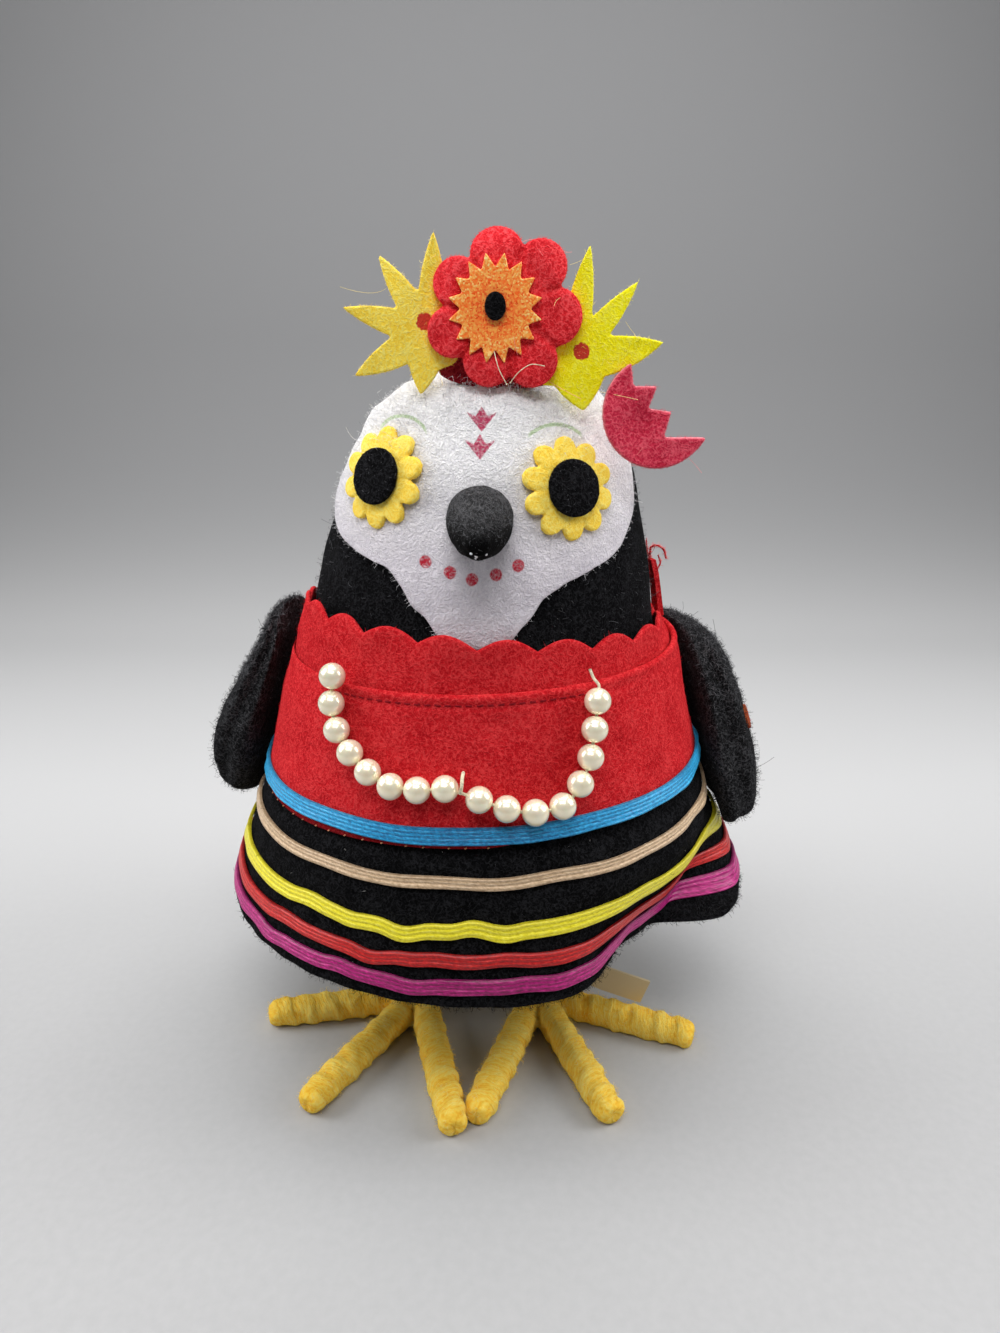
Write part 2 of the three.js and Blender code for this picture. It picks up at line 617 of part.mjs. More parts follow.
function footGeometry({ hub, toes }) {
  const legTop = UNDERSIDE - GAP;
  const leg = new THREE.CylinderGeometry(LEG_RADIUS, LEG_RADIUS, legTop - HUB_RADIUS, TOE_SIDES)
    .rotateX(Math.PI / 2)
    .translate(...hub, (legTop + HUB_RADIUS) / 2);
  const knuckle = new THREE.SphereGeometry(HUB_RADIUS, 8, 6).translate(...hub, HUB_RADIUS - SOLE_CUT);
  const joined = [knuckle, ...toes.map((tip) => toeGeometry(hub, tip))]
    .reduce((solid, geometry) => solid.add(solidOf(geometry)), solidOf(leg));
  const floor = new THREE.BoxGeometry(300, 300, 20).translate(0, 0, -10);
  return geometryOf(joined.subtract(solidOf(floor)));
}

function necklaceCentres() {
  const laid = NECKLACE.map(([angle, z]) => new THREE.Vector3(radians(angle) * NECKLACE_RADIUS, z, 0));
  const curve = new THREE.CatmullRomCurve3(laid, false, "centripetal");
  const length = curve.getLength();
  const pitch = (length - BARE_THREAD.length) / (PEARLS - 1);
  return Array.from({ length: PEARLS }, (_, i) => {
    const along = i * pitch + (i < BARE_THREAD.after ? 0 : BARE_THREAD.length);
    const { x, y } = curve.getPointAt(Math.min(along / length, 1));
    const angle = x / NECKLACE_RADIUS;
    const r = dressAt(y) + GAP + PEARL_RADIUS;
    return new THREE.Vector3(r * Math.sin(angle), -r * Math.cos(angle), y);
  });
}

// A flat ribbon of this width that follows the path, its width kept upright or square to its run.
function tagGeometry({ path, width, thickness }) {
  const curve = new THREE.CatmullRomCurve3(path.map((p) => new THREE.Vector3(...p)));
  const ribbon = new THREE.BoxGeometry(1, width, thickness, 9, 1, 1);
  return warped(ribbon, (p) => {
    const share = THREE.MathUtils.clamp(p.x + 0.5, 0, 1);
    const centre = curve.getPointAt(share);
    const run = curve.getTangentAt(share);
    const depth = new THREE.Vector3(0, 1, 0);
    const up = new THREE.Vector3().crossVectors(depth, run).negate().normalize();
    return centre.addScaledVector(up, p.y).addScaledVector(depth, -p.z);
  });
}

// The strip leans back towards the head above the collar and narrows to its top.
function napeTieGeometry({ angle, width, foot, top, lean, topShare }) {
  const strip = new THREE.BoxGeometry(width, FELT, top - foot, 1, 1, 4);
  const against = COLLAR.outer + GAP + FELT / 2;
  return warped(strip, (p) => {
    const z = p.z + (foot + top) / 2;
    const shoulder = bodyRadius(Math.min(z, COLLAR_PEAK)) + against;
    const r = shoulder - p.y - lean * step(z, COLLAR_PEAK, top);
    const narrowed = THREE.MathUtils.lerp(1, topShare, (z - foot) / (top - foot));
    const turn = radians(angle) + (p.x * narrowed) / shoulder;
    return new THREE.Vector3(r * Math.sin(turn), -r * Math.cos(turn), z);
  });
}

function addDress() {
  add("collar", collarGeometry(), "redFelt");
  add("bodice", bodiceGeometry(), "redFelt");
  add("skirt", skirtGeometry(), "blackFelt");
  for (const [name, ribbon] of Object.entries({ ribbon_blue: BLUE_RIBBON, ...RIBBONS })) {
    const mesh = new THREE.Mesh(
      ribbonGeometry(ribbon),
      new THREE.MeshStandardMaterial({ color: ribbon.colour, roughness: 0.45 }),
    );
    mesh.name = name;
    meshes.set(name, mesh);
  }
}

function addFace() {
  add("face_mask", maskGeometry(), "whiteFelt");
  add("beak", beakGeometry(), "charcoal");
  for (const [side, place] of Object.entries(EYES)) {
    const { radius, petals, petalRadius } = EYE_FLOWER;
    const petalShape = lobedShape(evenLobes(petals, radius - petalRadius, petalRadius), 4);
    const discShape = ovalShape(EYE_DISC_RADIUS, EYE_DISC_RADIUS);
    const flower = add(`eye_flower_${side}`, flat(petalShape, FELT), "eyeYellowFelt");
    const disc = add(`eye_disc_${side}`, flat(discShape, FELT, 6), "blackFelt");
    placeOnFace(flower, place, MASK.outer + GAP);
    placeOnFace(disc, place, MASK.outer + FELT + 2 * GAP);
  }
}

// Adds a flat felt piece that stands upright in the crown.
function addCrownPiece(name, shape, place, thickness, material, curveSegments = 6) {
  stand(add(name, flat(shape, thickness, curveSegments), material), place, thickness);
}

function addCrown() {
  const sunFront = RED_FRONT - GAP - SUNBURST.thickness;
  const eyeFront = sunFront - GAP - FLOWER_CENTRE.thickness;
  const redShape = lobedShape(RED_FLOWER.lobes, 6);
  const rayShape = starShape(SUNBURST);
  const eyeShape = ovalShape(FLOWER_CENTRE.halfWidth, FLOWER_CENTRE.halfHeight);
  const leftShape = pointedShape(YELLOW_LEFT.petals, YELLOW_NOTCH);
  const rightShape = pointedShape(YELLOW_RIGHT.petals, YELLOW_NOTCH);
  const backShape = ovalShape(BACKING.halfWidth, BACKING.halfHeight);
  addCrownPiece("red_flower", redShape, RED_FLOWER, FLOWER_FELT, "redFelt");
  addCrownPiece("sunburst", rayShape, { ...SUNBURST, front: sunFront }, SUNBURST.thickness, "glitter");
  const centrePlace = { ...FLOWER_CENTRE, front: eyeFront };
  addCrownPiece("flower_centre", eyeShape, centrePlace, FLOWER_CENTRE.thickness, "blackFelt");
  addCrownPiece("yellow_flower_left", leftShape, YELLOW_LEFT, FELT, "warmYellowFelt", 2);
  addCrownPiece("yellow_flower_right", rightShape, YELLOW_RIGHT, FELT, "neonYellowFelt", 2);
  addCrownPiece("pink_flower", halfRosetteShape(PINK_FLOWER), PINK_FLOWER, FLOWER_FELT, "pinkFelt", 5);
  addCrownPiece("flower_backing", backShape, BACKING, FELT, "darkRedFelt");
}

function addWings() {
  for (const [name, wing] of Object.entries(WINGS)) add(name, wingGeometry(wing), "blackFelt");
  add("wing_patch_right", wingPatchGeometry(WING_PATCH), "rustFelt");
}

function addPearls() {
  necklaceCentres().forEach((centre, i) => {
    const name = `pearl_${String(i + 1).padStart(2, "0")}`;
    const pearl = add(name, new THREE.SphereGeometry(PEARL_RADIUS, 8, 5), "pearl");
    pearl.position.copy(centre);
  });
}

add("body", bodyGeometry(), "blackFelt");
addFace();
addCrown();
addDress();
addWings();
for (const [name, foot] of Object.entries(FEET)) add(name, footGeometry(foot), "yarn");
add("tag", tagGeometry(TAG), "satin");
add("nape_tie", napeTieGeometry(NAPE_TIE), "redFelt");
addPearls();

const bird = new THREE.Group();
bird.add(...meshes.values());

// The origin is on the floor, under the middle of the figure's box.
bird.updateMatrixWorld(true);
const middle = new THREE.Box3().setFromObject(bird).getCenter(new THREE.Vector3());
bird.position.set(-middle.x, -middle.y, 0);

export default bird;
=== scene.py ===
"""A stuffed felt bird in day of the dead dress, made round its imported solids.

Lengths are in millimetres, measured from the middle of the bird's body, until a mesh is made.
The bird faces -Y, and left and right are the viewer's. Angles round the body run from the front to the right.
"""

import math

import bpy
import numpy as np
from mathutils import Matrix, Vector
from mathutils.geometry import tessellate_polygon


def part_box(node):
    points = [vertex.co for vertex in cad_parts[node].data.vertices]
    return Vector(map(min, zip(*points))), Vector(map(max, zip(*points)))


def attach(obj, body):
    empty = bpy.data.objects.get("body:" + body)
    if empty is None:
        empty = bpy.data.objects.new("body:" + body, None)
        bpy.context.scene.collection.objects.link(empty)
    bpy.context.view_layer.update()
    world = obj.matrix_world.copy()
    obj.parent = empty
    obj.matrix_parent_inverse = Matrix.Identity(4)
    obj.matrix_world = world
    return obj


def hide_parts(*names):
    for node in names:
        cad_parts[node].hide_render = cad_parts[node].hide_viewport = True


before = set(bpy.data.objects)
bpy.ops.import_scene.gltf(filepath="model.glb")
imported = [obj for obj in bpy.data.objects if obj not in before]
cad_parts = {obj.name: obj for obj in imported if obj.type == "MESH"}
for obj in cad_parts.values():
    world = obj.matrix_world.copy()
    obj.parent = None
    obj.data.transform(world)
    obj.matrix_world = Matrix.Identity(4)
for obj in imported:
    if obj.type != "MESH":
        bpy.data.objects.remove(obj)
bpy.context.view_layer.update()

MM = 0.001
body_low, body_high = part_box("body")
AXIS = np.array([(body_low.x + body_high.x) / 2, (body_low.y + body_high.y) / 2, 0]) / MM

# Camera of the photograph, from the middle of the body at floor level
CAMERA_PLACE = (3.5, -200, 150)
CAMERA_PITCH = 18
CAMERA_LENS = 26.0
SENSOR, NEAREST = 36.0, 5

# Heights of the body and the dress
CROWN = 146
COLLAR_PEAK = 102.6
COLLAR_FOOT = 90
BODICE_TOP = 93
WAIST = 68.4
BODICE_FOOT = 66.2
SKIRT_TOP = 71
HEM = 37
UNDERSIDE = 40

GIRTH = [(40, 41), (68, 42), (93, 36.8), (102, 35.4), (110, 33.9), (120, 31.3), (131, 29.5), (146, 27.4)]
CROWN_START, CROWN_POWER = 110, 4
SEAT_START, SEAT_POWER = 66, 3
HEAD_LEAN, LEAN_HEIGHTS = 1.2, (100, 126)
DRESS = [(37, 53.4), (45, 51.6), (51, 50.3), (60, 48.3), (68.4, 46.5), (80, 43.8), (93.5, 41)]
DRESS_TILT = [(37, -0.9), (45, 0), (60, 1.2), (93, 1.2)]
HEM_WIDENING, HEM_SHIFT = 0.045, 0.9
FOLD_DEPTH = [(37, 11), (41, 9.5), (45.5, 6.3), (51, 2.2), (56, 0)]
FOLD_FLANK = [(37, 60), (41, 70), (45.5, 75)]
FOLD_LEFT, FLANK_HALF = (14, 44), 8
FLARE = [(37, 3.2), (45.5, 2.5), (56, 0)]
FLARE_FROM_FLANK, FLARE_HALF = 18, 24

FELT = 1.2
GAP = 0.3
COLLAR_INNER, COLLAR_OUTER, COLLAR_TILT = 1.8, 2.8, 2.6
SCALLOPS, SCALLOP_DEPTH, FIRST_NOTCH = 22, 2.2, -0.8

RIBBON_THICKNESS = 0.5
RIBBONS = {
    "blue": {"height": WAIST, "width": 3.2},
    "beige": {"height": 60.1, "width": 2.2},
    "yellow": {"height": 51.3, "width": 3},
    "red": {"height": 45.7, "width": 2.6},
    "magenta": {"height": 41.2, "width": 2.8},
}
# Where a ribbon was sewn on unevenly: angle, how far its line rises there, and half the width of the kink
RIBBON_KINKS = {
    "yellow": [(-15, -1.0, 6), (-1, 0.8, 5), (6, -0.4, 4), (-38, 0.5, 7), (-27, -0.3, 5), (40, 0.4, 8)],
    "red": [(-21, -0.8, 6), (-8, 0.3, 5), (6, 0.4, 6), (-44, 0.4, 7), (24, -0.3, 6)],
    "magenta": [(-12, -0.6, 6), (-28, 0.5, 5), (-48, -0.5, 6), (10, 0.3, 6), (26, -0.3, 6)],
}

HEAD_CENTRE = np.array([0, 0, 122])
MASK_INNER, MASK_OUTER = 0.6, 1.6
MASK_OUTLINE = [
    (0, 86), (20, 84), (38, 79), (52, 74), (66, 68), (80, 63.5), (92, 57.5), (104, 48), (116, 36.5),
    (128, 29.8), (142, 27.2), (156, 27.8), (172, 29.6), (190, 29.7), (210, 29.5), (229, 29.2), (242, 32),
    (250, 38.5), (257, 50), (266, 62), (277, 66), (290, 61), (302, 59), (312, 63), (322, 70), (340, 80),
]
EYES = {"left": (291, 37.6), "right": (71.5, 30.6)}
EYE_FLOWER_RADIUS, EYE_PETALS = 9.4, 10
EYE_DISC_RADIUS = 5.1
BEAK_HEIGHT, BEAK_RADIUS, BEAK_LENGTH, BEAK_DROOP = 122.6, 6, 14.5, 9

FLOWER_FELT = 1.4
BACKING_FRONT = -22.8
YELLOW_FRONT = BACKING_FRONT - GAP - FELT
RED_FRONT = YELLOW_FRONT - GAP - FLOWER_FELT
SUN_THICKNESS, OVAL_THICKNESS = 0.8, 0.5
SUN_FRONT = RED_FRONT - GAP - SUN_THICKNESS
OVAL_FRONT = SUN_FRONT - GAP - OVAL_THICKNESS
RED_CENTRE = (4.5, 157.6)
RED_LOBES = [
    (47, 8.8, 4.4), (100, 8.4, 4.6), (155, 8.9, 4.3), (204, 10, 4.3),
    (251, 9.2, 4.4), (297, 9.8, 4.5), (349, 8.3, 4.9),
]
SUN_CENTRE = (2.7, 157.2)
SUN_POINTS, SUN_OUTER, SUN_INNER, SUN_NARROW, SUN_TURNED = 16, 9, 6.6, 0.9, 11.25
OVAL_CENTRE, OVAL_HALF = (2.7, 157.6), (1.8, 2.3)
YELLOW_NOTCH, PETAL_BELLY = 6.4, 0.5
YELLOW_FLOWERS = {
    "left": {
        "centre": (-8.8, 153.6),
        "petals": [
            (86, 16), (124, 15), (165, 15.2), (209, 15.2), (261, 10.6), (310, 6.8), (350, 13), (38, 14),
        ],
        "bends": (0.8, -0.9, 0.9, -0.4, 0.9, 0, 0, 0.2),
        "slot": "warm_yellow_felt",
        "tones": ("gold", "straw"),
    },
    "right": {
        "centre": (16.6, 150),
        "petals": [(83, 17.6), (48, 15.8), (7, 15.3), (280, 9.8), (195, 12), (130, 14)],
        "bends": (0.3, -0.9, 1.0, 0.2, 0, 0.1),
        "slot": "neon_yellow_felt",
        "tones": ("lemon", "straw"),
    },
}
PINK_CENTRE, PINK_RADIUS, PINK_ROLL, PINK_FELT = (31.2, 140.2), 9.7, 42, FLOWER_FELT + 0.4
PINK_EDGE = [(9.3, 2.6), (3.7, -2.4), (1.6, 1.6), (-1.7, -0.7), (-3.3, 3), (-6.3, 0.3), (-9.3, 2.7)]
BACKING_CENTRE, BACKING_HALF = (4.5, 147.4), (12, 3.4)

PEARLS, PEARL_RADIUS = 16, 2.45

WINGS = {
    "wing_left": {
        "side": -1, "top": 99.2, "foot": 53.4, "span": (78, 121), "sweep": 7,
        "thickness": 13.2, "shoulder": 0.42, "ends": 0.85, "blunt": 0.6,
    },
    "wing_right": {
        "side": 1, "top": 94.2, "foot": 52.6, "span": (75, 121), "sweep": -9,
        "thickness": 11.8, "shoulder": 0.88, "ends": 0.62, "blunt": 0.28,
    },
}
WING_CLEARANCE, WING_FULLEST = 1.5, 0.7
WING_CREASE, CREASE_TOP, CREASE_TURN, CREASE_HALF = 2.4, 92, -30, 30
BLUNT_SWELL, BLUNT_FACE, BLUNT_WIDTH, BLUNT_EDGES = 0.7, 0.8, 0.6, 0.75

TOE_RADIUS, TOE_TIP_RADIUS, TOE_LIFT = 3.3, 3.0, 2.9
LEG_RADIUS, HUB_RADIUS = 3.3, 4.3
FEET = {
    "foot_left": {"hub": (-15.5, -3.5), "toes": [(-48.7, -10.4), (-35.6, -37.6), (-6, -43.9), (-19, 23)]},
    "foot_right": {"hub": (12.2, -3.5), "toes": [(-0.9, -40.8), (25.8, -40.6), (45.6, -17.4), (16.5, 23)]},
}


# Curves and noise

def through(points):
    """A smooth curve through (x, y) points that never overshoots them, level beyond both ends."""
    x, y = np.array(points, float).T
    slope = np.diff(y) / np.diff(x)
    before = np.concatenate([slope[:1], slope])
    after = np.concatenate([slope, slope[-1:]])
    total = np.where(before + after == 0, 1, before + after)
    tangent = np.where(before * after > 0, 2 * before * after / total, 0)

    def at(value):
        held = np.clip(value, x[0], x[-1])
        i = np.clip(np.searchsorted(x, held, side="right") - 1, 0, len(x) - 2)
        width = x[i + 1] - x[i]
        t = (held - x[i]) / width
        rise = (3 - 2 * t) * t * t
        bend = tangent[i] * (1 - t) - tangent[i + 1] * t
        return y[i] + (y[i + 1] - y[i]) * rise + width * t * (1 - t) * bend

    return at


def ease(value, low, high):
    """0 at low, 1 at high, smooth between."""
    t = np.clip((np.asarray(value, float) - low) / (high - low), 0, 1)
    return t * t * (3 - 2 * t)


def bump_at(value, centre, half):
    """1 at the centre, fading to 0 this far on both sides."""
    return np.cos(np.clip(np.abs(value - centre) / half, 0, 1) * math.pi / 2) ** 2


def unit(vectors):
    return vectors / np.linalg.norm(vectors, axis=-1, keepdims=True)


def turns(count):
    """Evenly spaced angles of a full turn."""
    return np.arange(count) * 2 * math.pi / count


def around(angle, side, up):
    """The direction at an angle from side towards up."""
    return np.cos(angle)[..., None] * side + np.sin(angle)[..., None] * up


WAVES = 20


def lumps(points, size, seed):
    """Smooth random lumps of about this size, mostly between -1 and 1."""
    rng = np.random.default_rng(seed)
    ways = rng.normal(size=(WAVES, 3))
    ways *= rng.uniform(0.6, 1.5, (WAVES, 1)) * 2 * math.pi / size / np.linalg.norm(ways, axis=1)[:, None]
    phases = rng.uniform(0, 2 * math.pi, WAVES)
    return np.sin(np.asarray(points) @ ways.T + phases).sum(axis=-1) / math.sqrt(WAVES)


def flat_lumps(x, y, size, seed):
    return lumps(np.stack([x, y, 0 * x], axis=-1), size, seed)


girth_at, dress_at, tilt_at = through(GIRTH), through(DRESS), through(DRESS_TILT)
fold_depth_at, fold_flank_at, flare_at = through(FOLD_DEPTH), through(FOLD_FLANK), through(FLARE)
mask_edge_at = through(
    [(turn - 360, spread) for turn, spread in MASK_OUTLINE[-2:]]
    + MASK_OUTLINE
    + [(turn + 360, spread) for turn, spread in MASK_OUTLINE[:2]]
)


def body_radius(z):
    up = np.clip((z - CROWN_START) / (CROWN - CROWN_START), 0, 1)
    down = np.clip((SEAT_START - z) / (SEAT_START - UNDERSIDE), 0, 1)
    crown = (1 - up ** CROWN_POWER) ** (1 / CROWN_POWER)
    seat = (1 - down ** SEAT_POWER) ** (1 / SEAT_POWER)
    return girth_at(z) * crown * seat


def lean_at(z):
    return HEAD_LEAN * ease(z, *LEAN_HEIGHTS)


def ring_point(angle, r, z, aside=0):
    """A point at an angle round the body and this far from its middle line, which is moved aside."""
    return np.stack([r * np.sin(angle) + aside, -r * np.cos(angle), z + 0 * r], axis=-1)


def body_point(angle, offset, z):
    """A point of the stuffed body, at an angle in radians, this far outside its surface."""
    return ring_point(angle, body_radius(z) + offset, z, lean_at(z))


def fold_at(angle, z):
    """How far the skirt's fold and flare move its face, at an angle in degrees."""
    flank = fold_flank_at(z)
    in_fold = ease(angle, *FOLD_LEFT) * (1 - ease(angle - flank, -FLANK_HALF, FLANK_HALF))
    flare = bump_at(angle, flank + FLARE_FROM_FLANK, FLARE_HALF)
    return flare_at(z) * flare - fold_depth_at(z) * in_fold


def dress_point(angle, offset, height):
    """A point of the dress, at an angle in radians, this far outside its outer face."""
    z = height + tilt_at(height) * np.sin(angle)
    r = dress_at(z) + fold_at(np.degrees(angle), height) + offset
    low = ease(WAIST - z, 0, WAIST - HEM)
    x = r * np.sin(angle) * (1 + HEM_WIDENING * low) - HEM_SHIFT * low
    return np.stack([x, -r * np.cos(angle), z], axis=-1)


def reach(direction):
    """Distance from the head's centre to the body's surface along each direction."""
    low = np.zeros(direction.shape[:-1])
    high = np.full(direction.shape[:-1], 50.0)
    for _ in range(36):
        middle = (low + high) / 2
        p = HEAD_CENTRE + direction * middle[..., None]
        z = np.minimum(p[..., 2], CROWN)
        inside = (p[..., 2] < CROWN) & (np.hypot(p[..., 0] - lean_at(z), p[..., 1]) < body_radius(z))
        low = np.where(inside, middle, low)
        high = np.where(inside, high, middle)
    return low


def head_angles(points):
    """(turn, spread) of points round the head, in degrees."""
    out = points - HEAD_CENTRE
    spread = np.degrees(np.arccos(np.clip(-out[..., 1] / np.linalg.norm(out, axis=-1), -1, 1)))
    return np.degrees(np.arctan2(out[..., 0], out[..., 2])) % 360, spread


def face_point(turn, spread, offset):
    """A point of the face, this far outside the head; angles in degrees."""
    turn, spread = np.broadcast_arrays(np.radians(turn), np.radians(spread))
    side = np.sin(spread)
    direction = np.stack([side * np.sin(turn), -np.cos(spread), side * np.cos(turn)], axis=-1)
    return HEAD_CENTRE + direction * (reach(direction) + offset)[..., None]


def face_frame(turn, spread, offset):
    """(origin, right, up, outward) of a flat thing glued on the face."""
    nudge = 4
    sweep = nudge / math.sin(math.radians(spread))
    along = face_point(turn, spread + nudge, offset) - face_point(turn, spread - nudge, offset)
    across = face_point(turn + sweep, spread, offset) - face_point(turn - sweep, spread, offset)
    normal = unit(np.cross(across, along))
    right = unit(np.cross([0, 0, 1], normal))
    return face_point(turn, spread, offset), right, np.cross(normal, right), normal


# Meshes

def linked(name, data):
    """An object of the scene with this mesh, light or camera."""
    made = bpy.data.objects.new(name, data)
    bpy.context.scene.collection.objects.link(made)
    return made


def mesh_object(name, vertices, faces, material, values=None):
    """A smooth-shaded object from points in millimetres; values are numbers kept at its vertices by name."""
    mesh = bpy.data.meshes.new(name)
    places = (np.asarray(vertices, float) + AXIS) * MM
    if not isinstance(faces, np.ndarray):
        faces = [list(map(int, f)) for f in faces]
    mesh.from_pydata(places, [], faces)
    for key, value in (values or {}).items():
        mesh.attributes.new(key, "FLOAT", "POINT").data.foreach_set("value", np.asarray(value, np.float32))
    mesh.update()
    mesh.shade_smooth()
    mesh.materials.append(material)
    return linked(name, mesh)


def piece(name, points, faces, slot, *nodes, material=None, values=None):
    """Makes a piece and ties it to the bird's only body, to its finish and to the nodes it stands for."""
    made = mesh_object(name, points, faces, MATERIALS[material or slot], values)
    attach(made, "root")
    if nodes:
        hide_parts(*nodes)
    return made


def grid_faces(columns, rows, closed_columns=True, closed_rows=True):
    """Squares of a grid whose point (column, row) has the number column * rows + row."""
    i = np.arange(columns if closed_columns else columns - 1)
    j = np.arange(rows if closed_rows else rows - 1)
    i, j = [a.ravel() for a in np.meshgrid(i, j, indexing="ij")]
    after, above = (i + 1) % columns, (j + 1) % rows
    corners = [i * rows + j, after * rows + j, after * rows + above, i * rows + above]
    return np.stack(corners, axis=-1)


def turned_faces(columns, rows, first, start, flip=False):
    """Triangles that join row `first` of a grid, closed round its columns, to one point."""
    i = np.arange(columns)
    edge = [i * rows + first, (i + 1) % columns * rows + first]
    order = [edge[1], edge[0]] if flip else edge
    return np.stack([*order, np.full(columns, start)], axis=-1)


def capped_faces(columns, rows):
    """Faces of a grid, closed round its columns, with a flat lid on each end."""
    low = [i * rows for i in range(columns)]
    high = [i + rows - 1 for i in low]
    return [*map(list, grid_faces(columns, rows, True, False)), low, high[::-1]]


def tipped_grid(points, first_tip, last_tip):
    """(points, faces) of a grid, closed round its columns, and by a point beyond each end of its rows."""
    columns, rows = points.shape[:2]
    count = columns * rows
    faces = [
        *grid_faces(columns, rows, True, False),
        *turned_faces(columns, rows, 0, count, flip=True),
        *turned_faces(columns, rows, rows - 1, count + 1),
    ]
    return np.concatenate([points.reshape(-1, 3), [first_tip, last_tip]]), faces


def points_of(made):
    """(points, faces) of a piece that is made."""
    points = np.zeros(len(made.data.vertices) * 3)
    made.data.vertices.foreach_get("co", points)
    return points.reshape(-1, 3) / MM - AXIS, [tuple(face.vertices) for face in made.data.polygons]


RIM_STEPS, BACK_STEP = 3, 3


def strip_section(low, high, inner, outer, pitch):
    """Points (offset, height) round a strip of cloth, its front face first and both edges rounded."""
    half = (outer - inner) / 2
    middle = (outer + inner) / 2
    heights = np.linspace(low + half, high - half, max(2, round((high - low) / pitch)))
    arc = np.radians(np.linspace(0, 180, RIM_STEPS + 2)[1:-1])
    face = [(outer, z) for z in heights]
    top = [(middle + half * math.cos(a), high - half + half * math.sin(a)) for a in arc]
    back = [(inner, z) for z in heights[::-BACK_STEP]]
    foot = [(middle - half * math.cos(a), low + half - half * math.sin(a)) for a in arc]
    return np.array(face + top + back + foot)


def round_the_body(columns, start=0):
    """Evenly spaced angles round the body, between -pi and pi."""
    turn = start + turns(columns)
    return np.where(turn > math.pi, turn - 2 * math.pi, turn)


def remeshed(vertices, faces, voxel, smoothing):
    """(points, faces) of a closed mesh made again with even squares of this size, its edges softened."""
    mesh = bpy.data.meshes.new("rough")
    mesh.from_pydata(np.asarray(vertices, float).tolist(), [], [list(map(int, f)) for f in faces])
    rough = linked("rough", mesh)
    again = rough.modifiers.new("again", "REMESH")
    again.mode = "VOXEL"
    again.voxel_size = voxel
    soften = rough.modifiers.new("soften", "SMOOTH")
    soften.factor = 0.5
    soften.iterations = smoothing
    fine = rough.evaluated_get(bpy.context.evaluated_depsgraph_get()).to_mesh()
    points = np.zeros(len(fine.vertices) * 3)
    fine.vertices.foreach_get("co", points)
    squares = [tuple(face.vertices) for face in fine.polygons]
    rough.evaluated_get(bpy.context.evaluated_depsgraph_get()).to_mesh_clear()
    bpy.data.objects.remove(rough)
    bpy.data.meshes.remove(mesh)
    return points.reshape(-1, 3), squares


def joined(parts):
    """(points, faces) of several meshes as one."""
    points, faces, count = [], [], 0
    for part_points, part_faces in parts:
        points.append(np.asarray(part_points, float))
        faces += [[i + count for i in f] for f in part_faces]
        count += len(part_points)
    return np.concatenate(points), faces


def prism(outline, thickness):
    """(points, faces) of a flat shape, from depth 0 at its back to its thickness at the front."""
    back = [list(f) for f in tessellate_polygon([[Vector((x, y, 0)) for x, y in outline]])]
    count = len(outline)
    points = [(x, y, z) for z in (0, thickness) for x, y in outline]
    front = [[i + count for i in f] for f in back]
    sides = [[i, (i + 1) % count, (i + 1) % count + count, i + count] for i in range(count)]
    area = sum(x0 * y1 - x1 * y0 for (x0, y0), (x1, y1) in zip(outline, outline[1:] + outline[:1])) / 2
    if area < 0:
        sides = [f[::-1] for f in sides]
    facing = np.cross(*(np.subtract(outline[back[0][k]], outline[back[0][0]]) for k in (1, 2))) > 0
    back = [f[::-1] if facing else f for f in back]
    front = [f if facing else f[::-1] for f in front]
    return points, back + front + sides


# Loose fibres

NAP_SIDES = 3
NAP_CURLED = ((0.0, 0.55, 1.0), (1.0, 0.85))
NAP_STRAIGHT = ((0.0, 1.0), (1.15,))
RED_TONES, BLACK_TONES = ("red", "red", "crimson"), ("black", "black", "soot")
DARK_TONES, ASH_TONES = ("black", "soot", "soot"), ("ash", "ash", "soot")


def corners_and_areas(points, faces):
    """(corners, normals, areas) of a mesh's triangles."""
    triangles = []
    for face in faces:
        triangles.append(face[:3])
        if len(face) == 4:
            triangles.append((face[0], face[2], face[3]))
    corners = points[np.array(triangles, int)]
    cross = np.cross(corners[:, 1] - corners[:, 0], corners[:, 2] - corners[:, 0])
    size = np.linalg.norm(cross, axis=1)
    return corners, cross / np.maximum(size, 1e-9)[:, None], size / 2


def scattered(points, faces, count, rng, weight):
    """(places, normals) of fibres, spread over a mesh by area times weight(places, normals)."""
    corners, normals, areas = corners_and_areas(points, faces)
    chance = areas * weight(corners.mean(axis=1), normals)
    picked = rng.choice(len(areas), count, p=chance / chance.sum())
    a, b = rng.random(count), rng.random(count)
    a, b = np.where(a + b > 1, 1 - a, a), np.where(a + b > 1, 1 - b, b)
    first = corners[picked, 0]
    places = first + a[:, None] * (corners[picked, 1] - first) + b[:, None] * (corners[picked, 2] - first)
    return places, normals[picked]


def everywhere(places, normals):
    return np.ones(len(places))


def cut_edges(places, normals):
    """More fibres along the cut edges of felt that faces the front."""
    return 1 + 4 * (1 - np.abs(normals[:, 1]))


def head_only(places, normals):
    """Fibres on the part of the body above the collar."""
    return ease(places[:, 2], COLLAR_PEAK - 5, COLLAR_PEAK - 2)


def mask_rim(places, normals):
    """More fibres along the edge of the white face."""
    turn, spread = head_angles(places)
    return 1 + 1.5 * ease(spread / mask_edge_at(turn), 0.9, 1.0)


def mask_top(places, normals):
    """Fibres across the top of the white face, under the flowers."""
    turn, spread = head_angles(places)
    aside = np.minimum(turn, 360 - turn)
    band = ease(spread, 33, 40) * (1 - ease(spread, 50, 58))
    return 0.001 + band * (1 - ease(aside, 48, 66)) * (np.abs(normals[:, 1]) > 0.1)


def up_facing(places, normals):
    return 0.1 + ease(normals[:, 2], -0.3, 0.5)


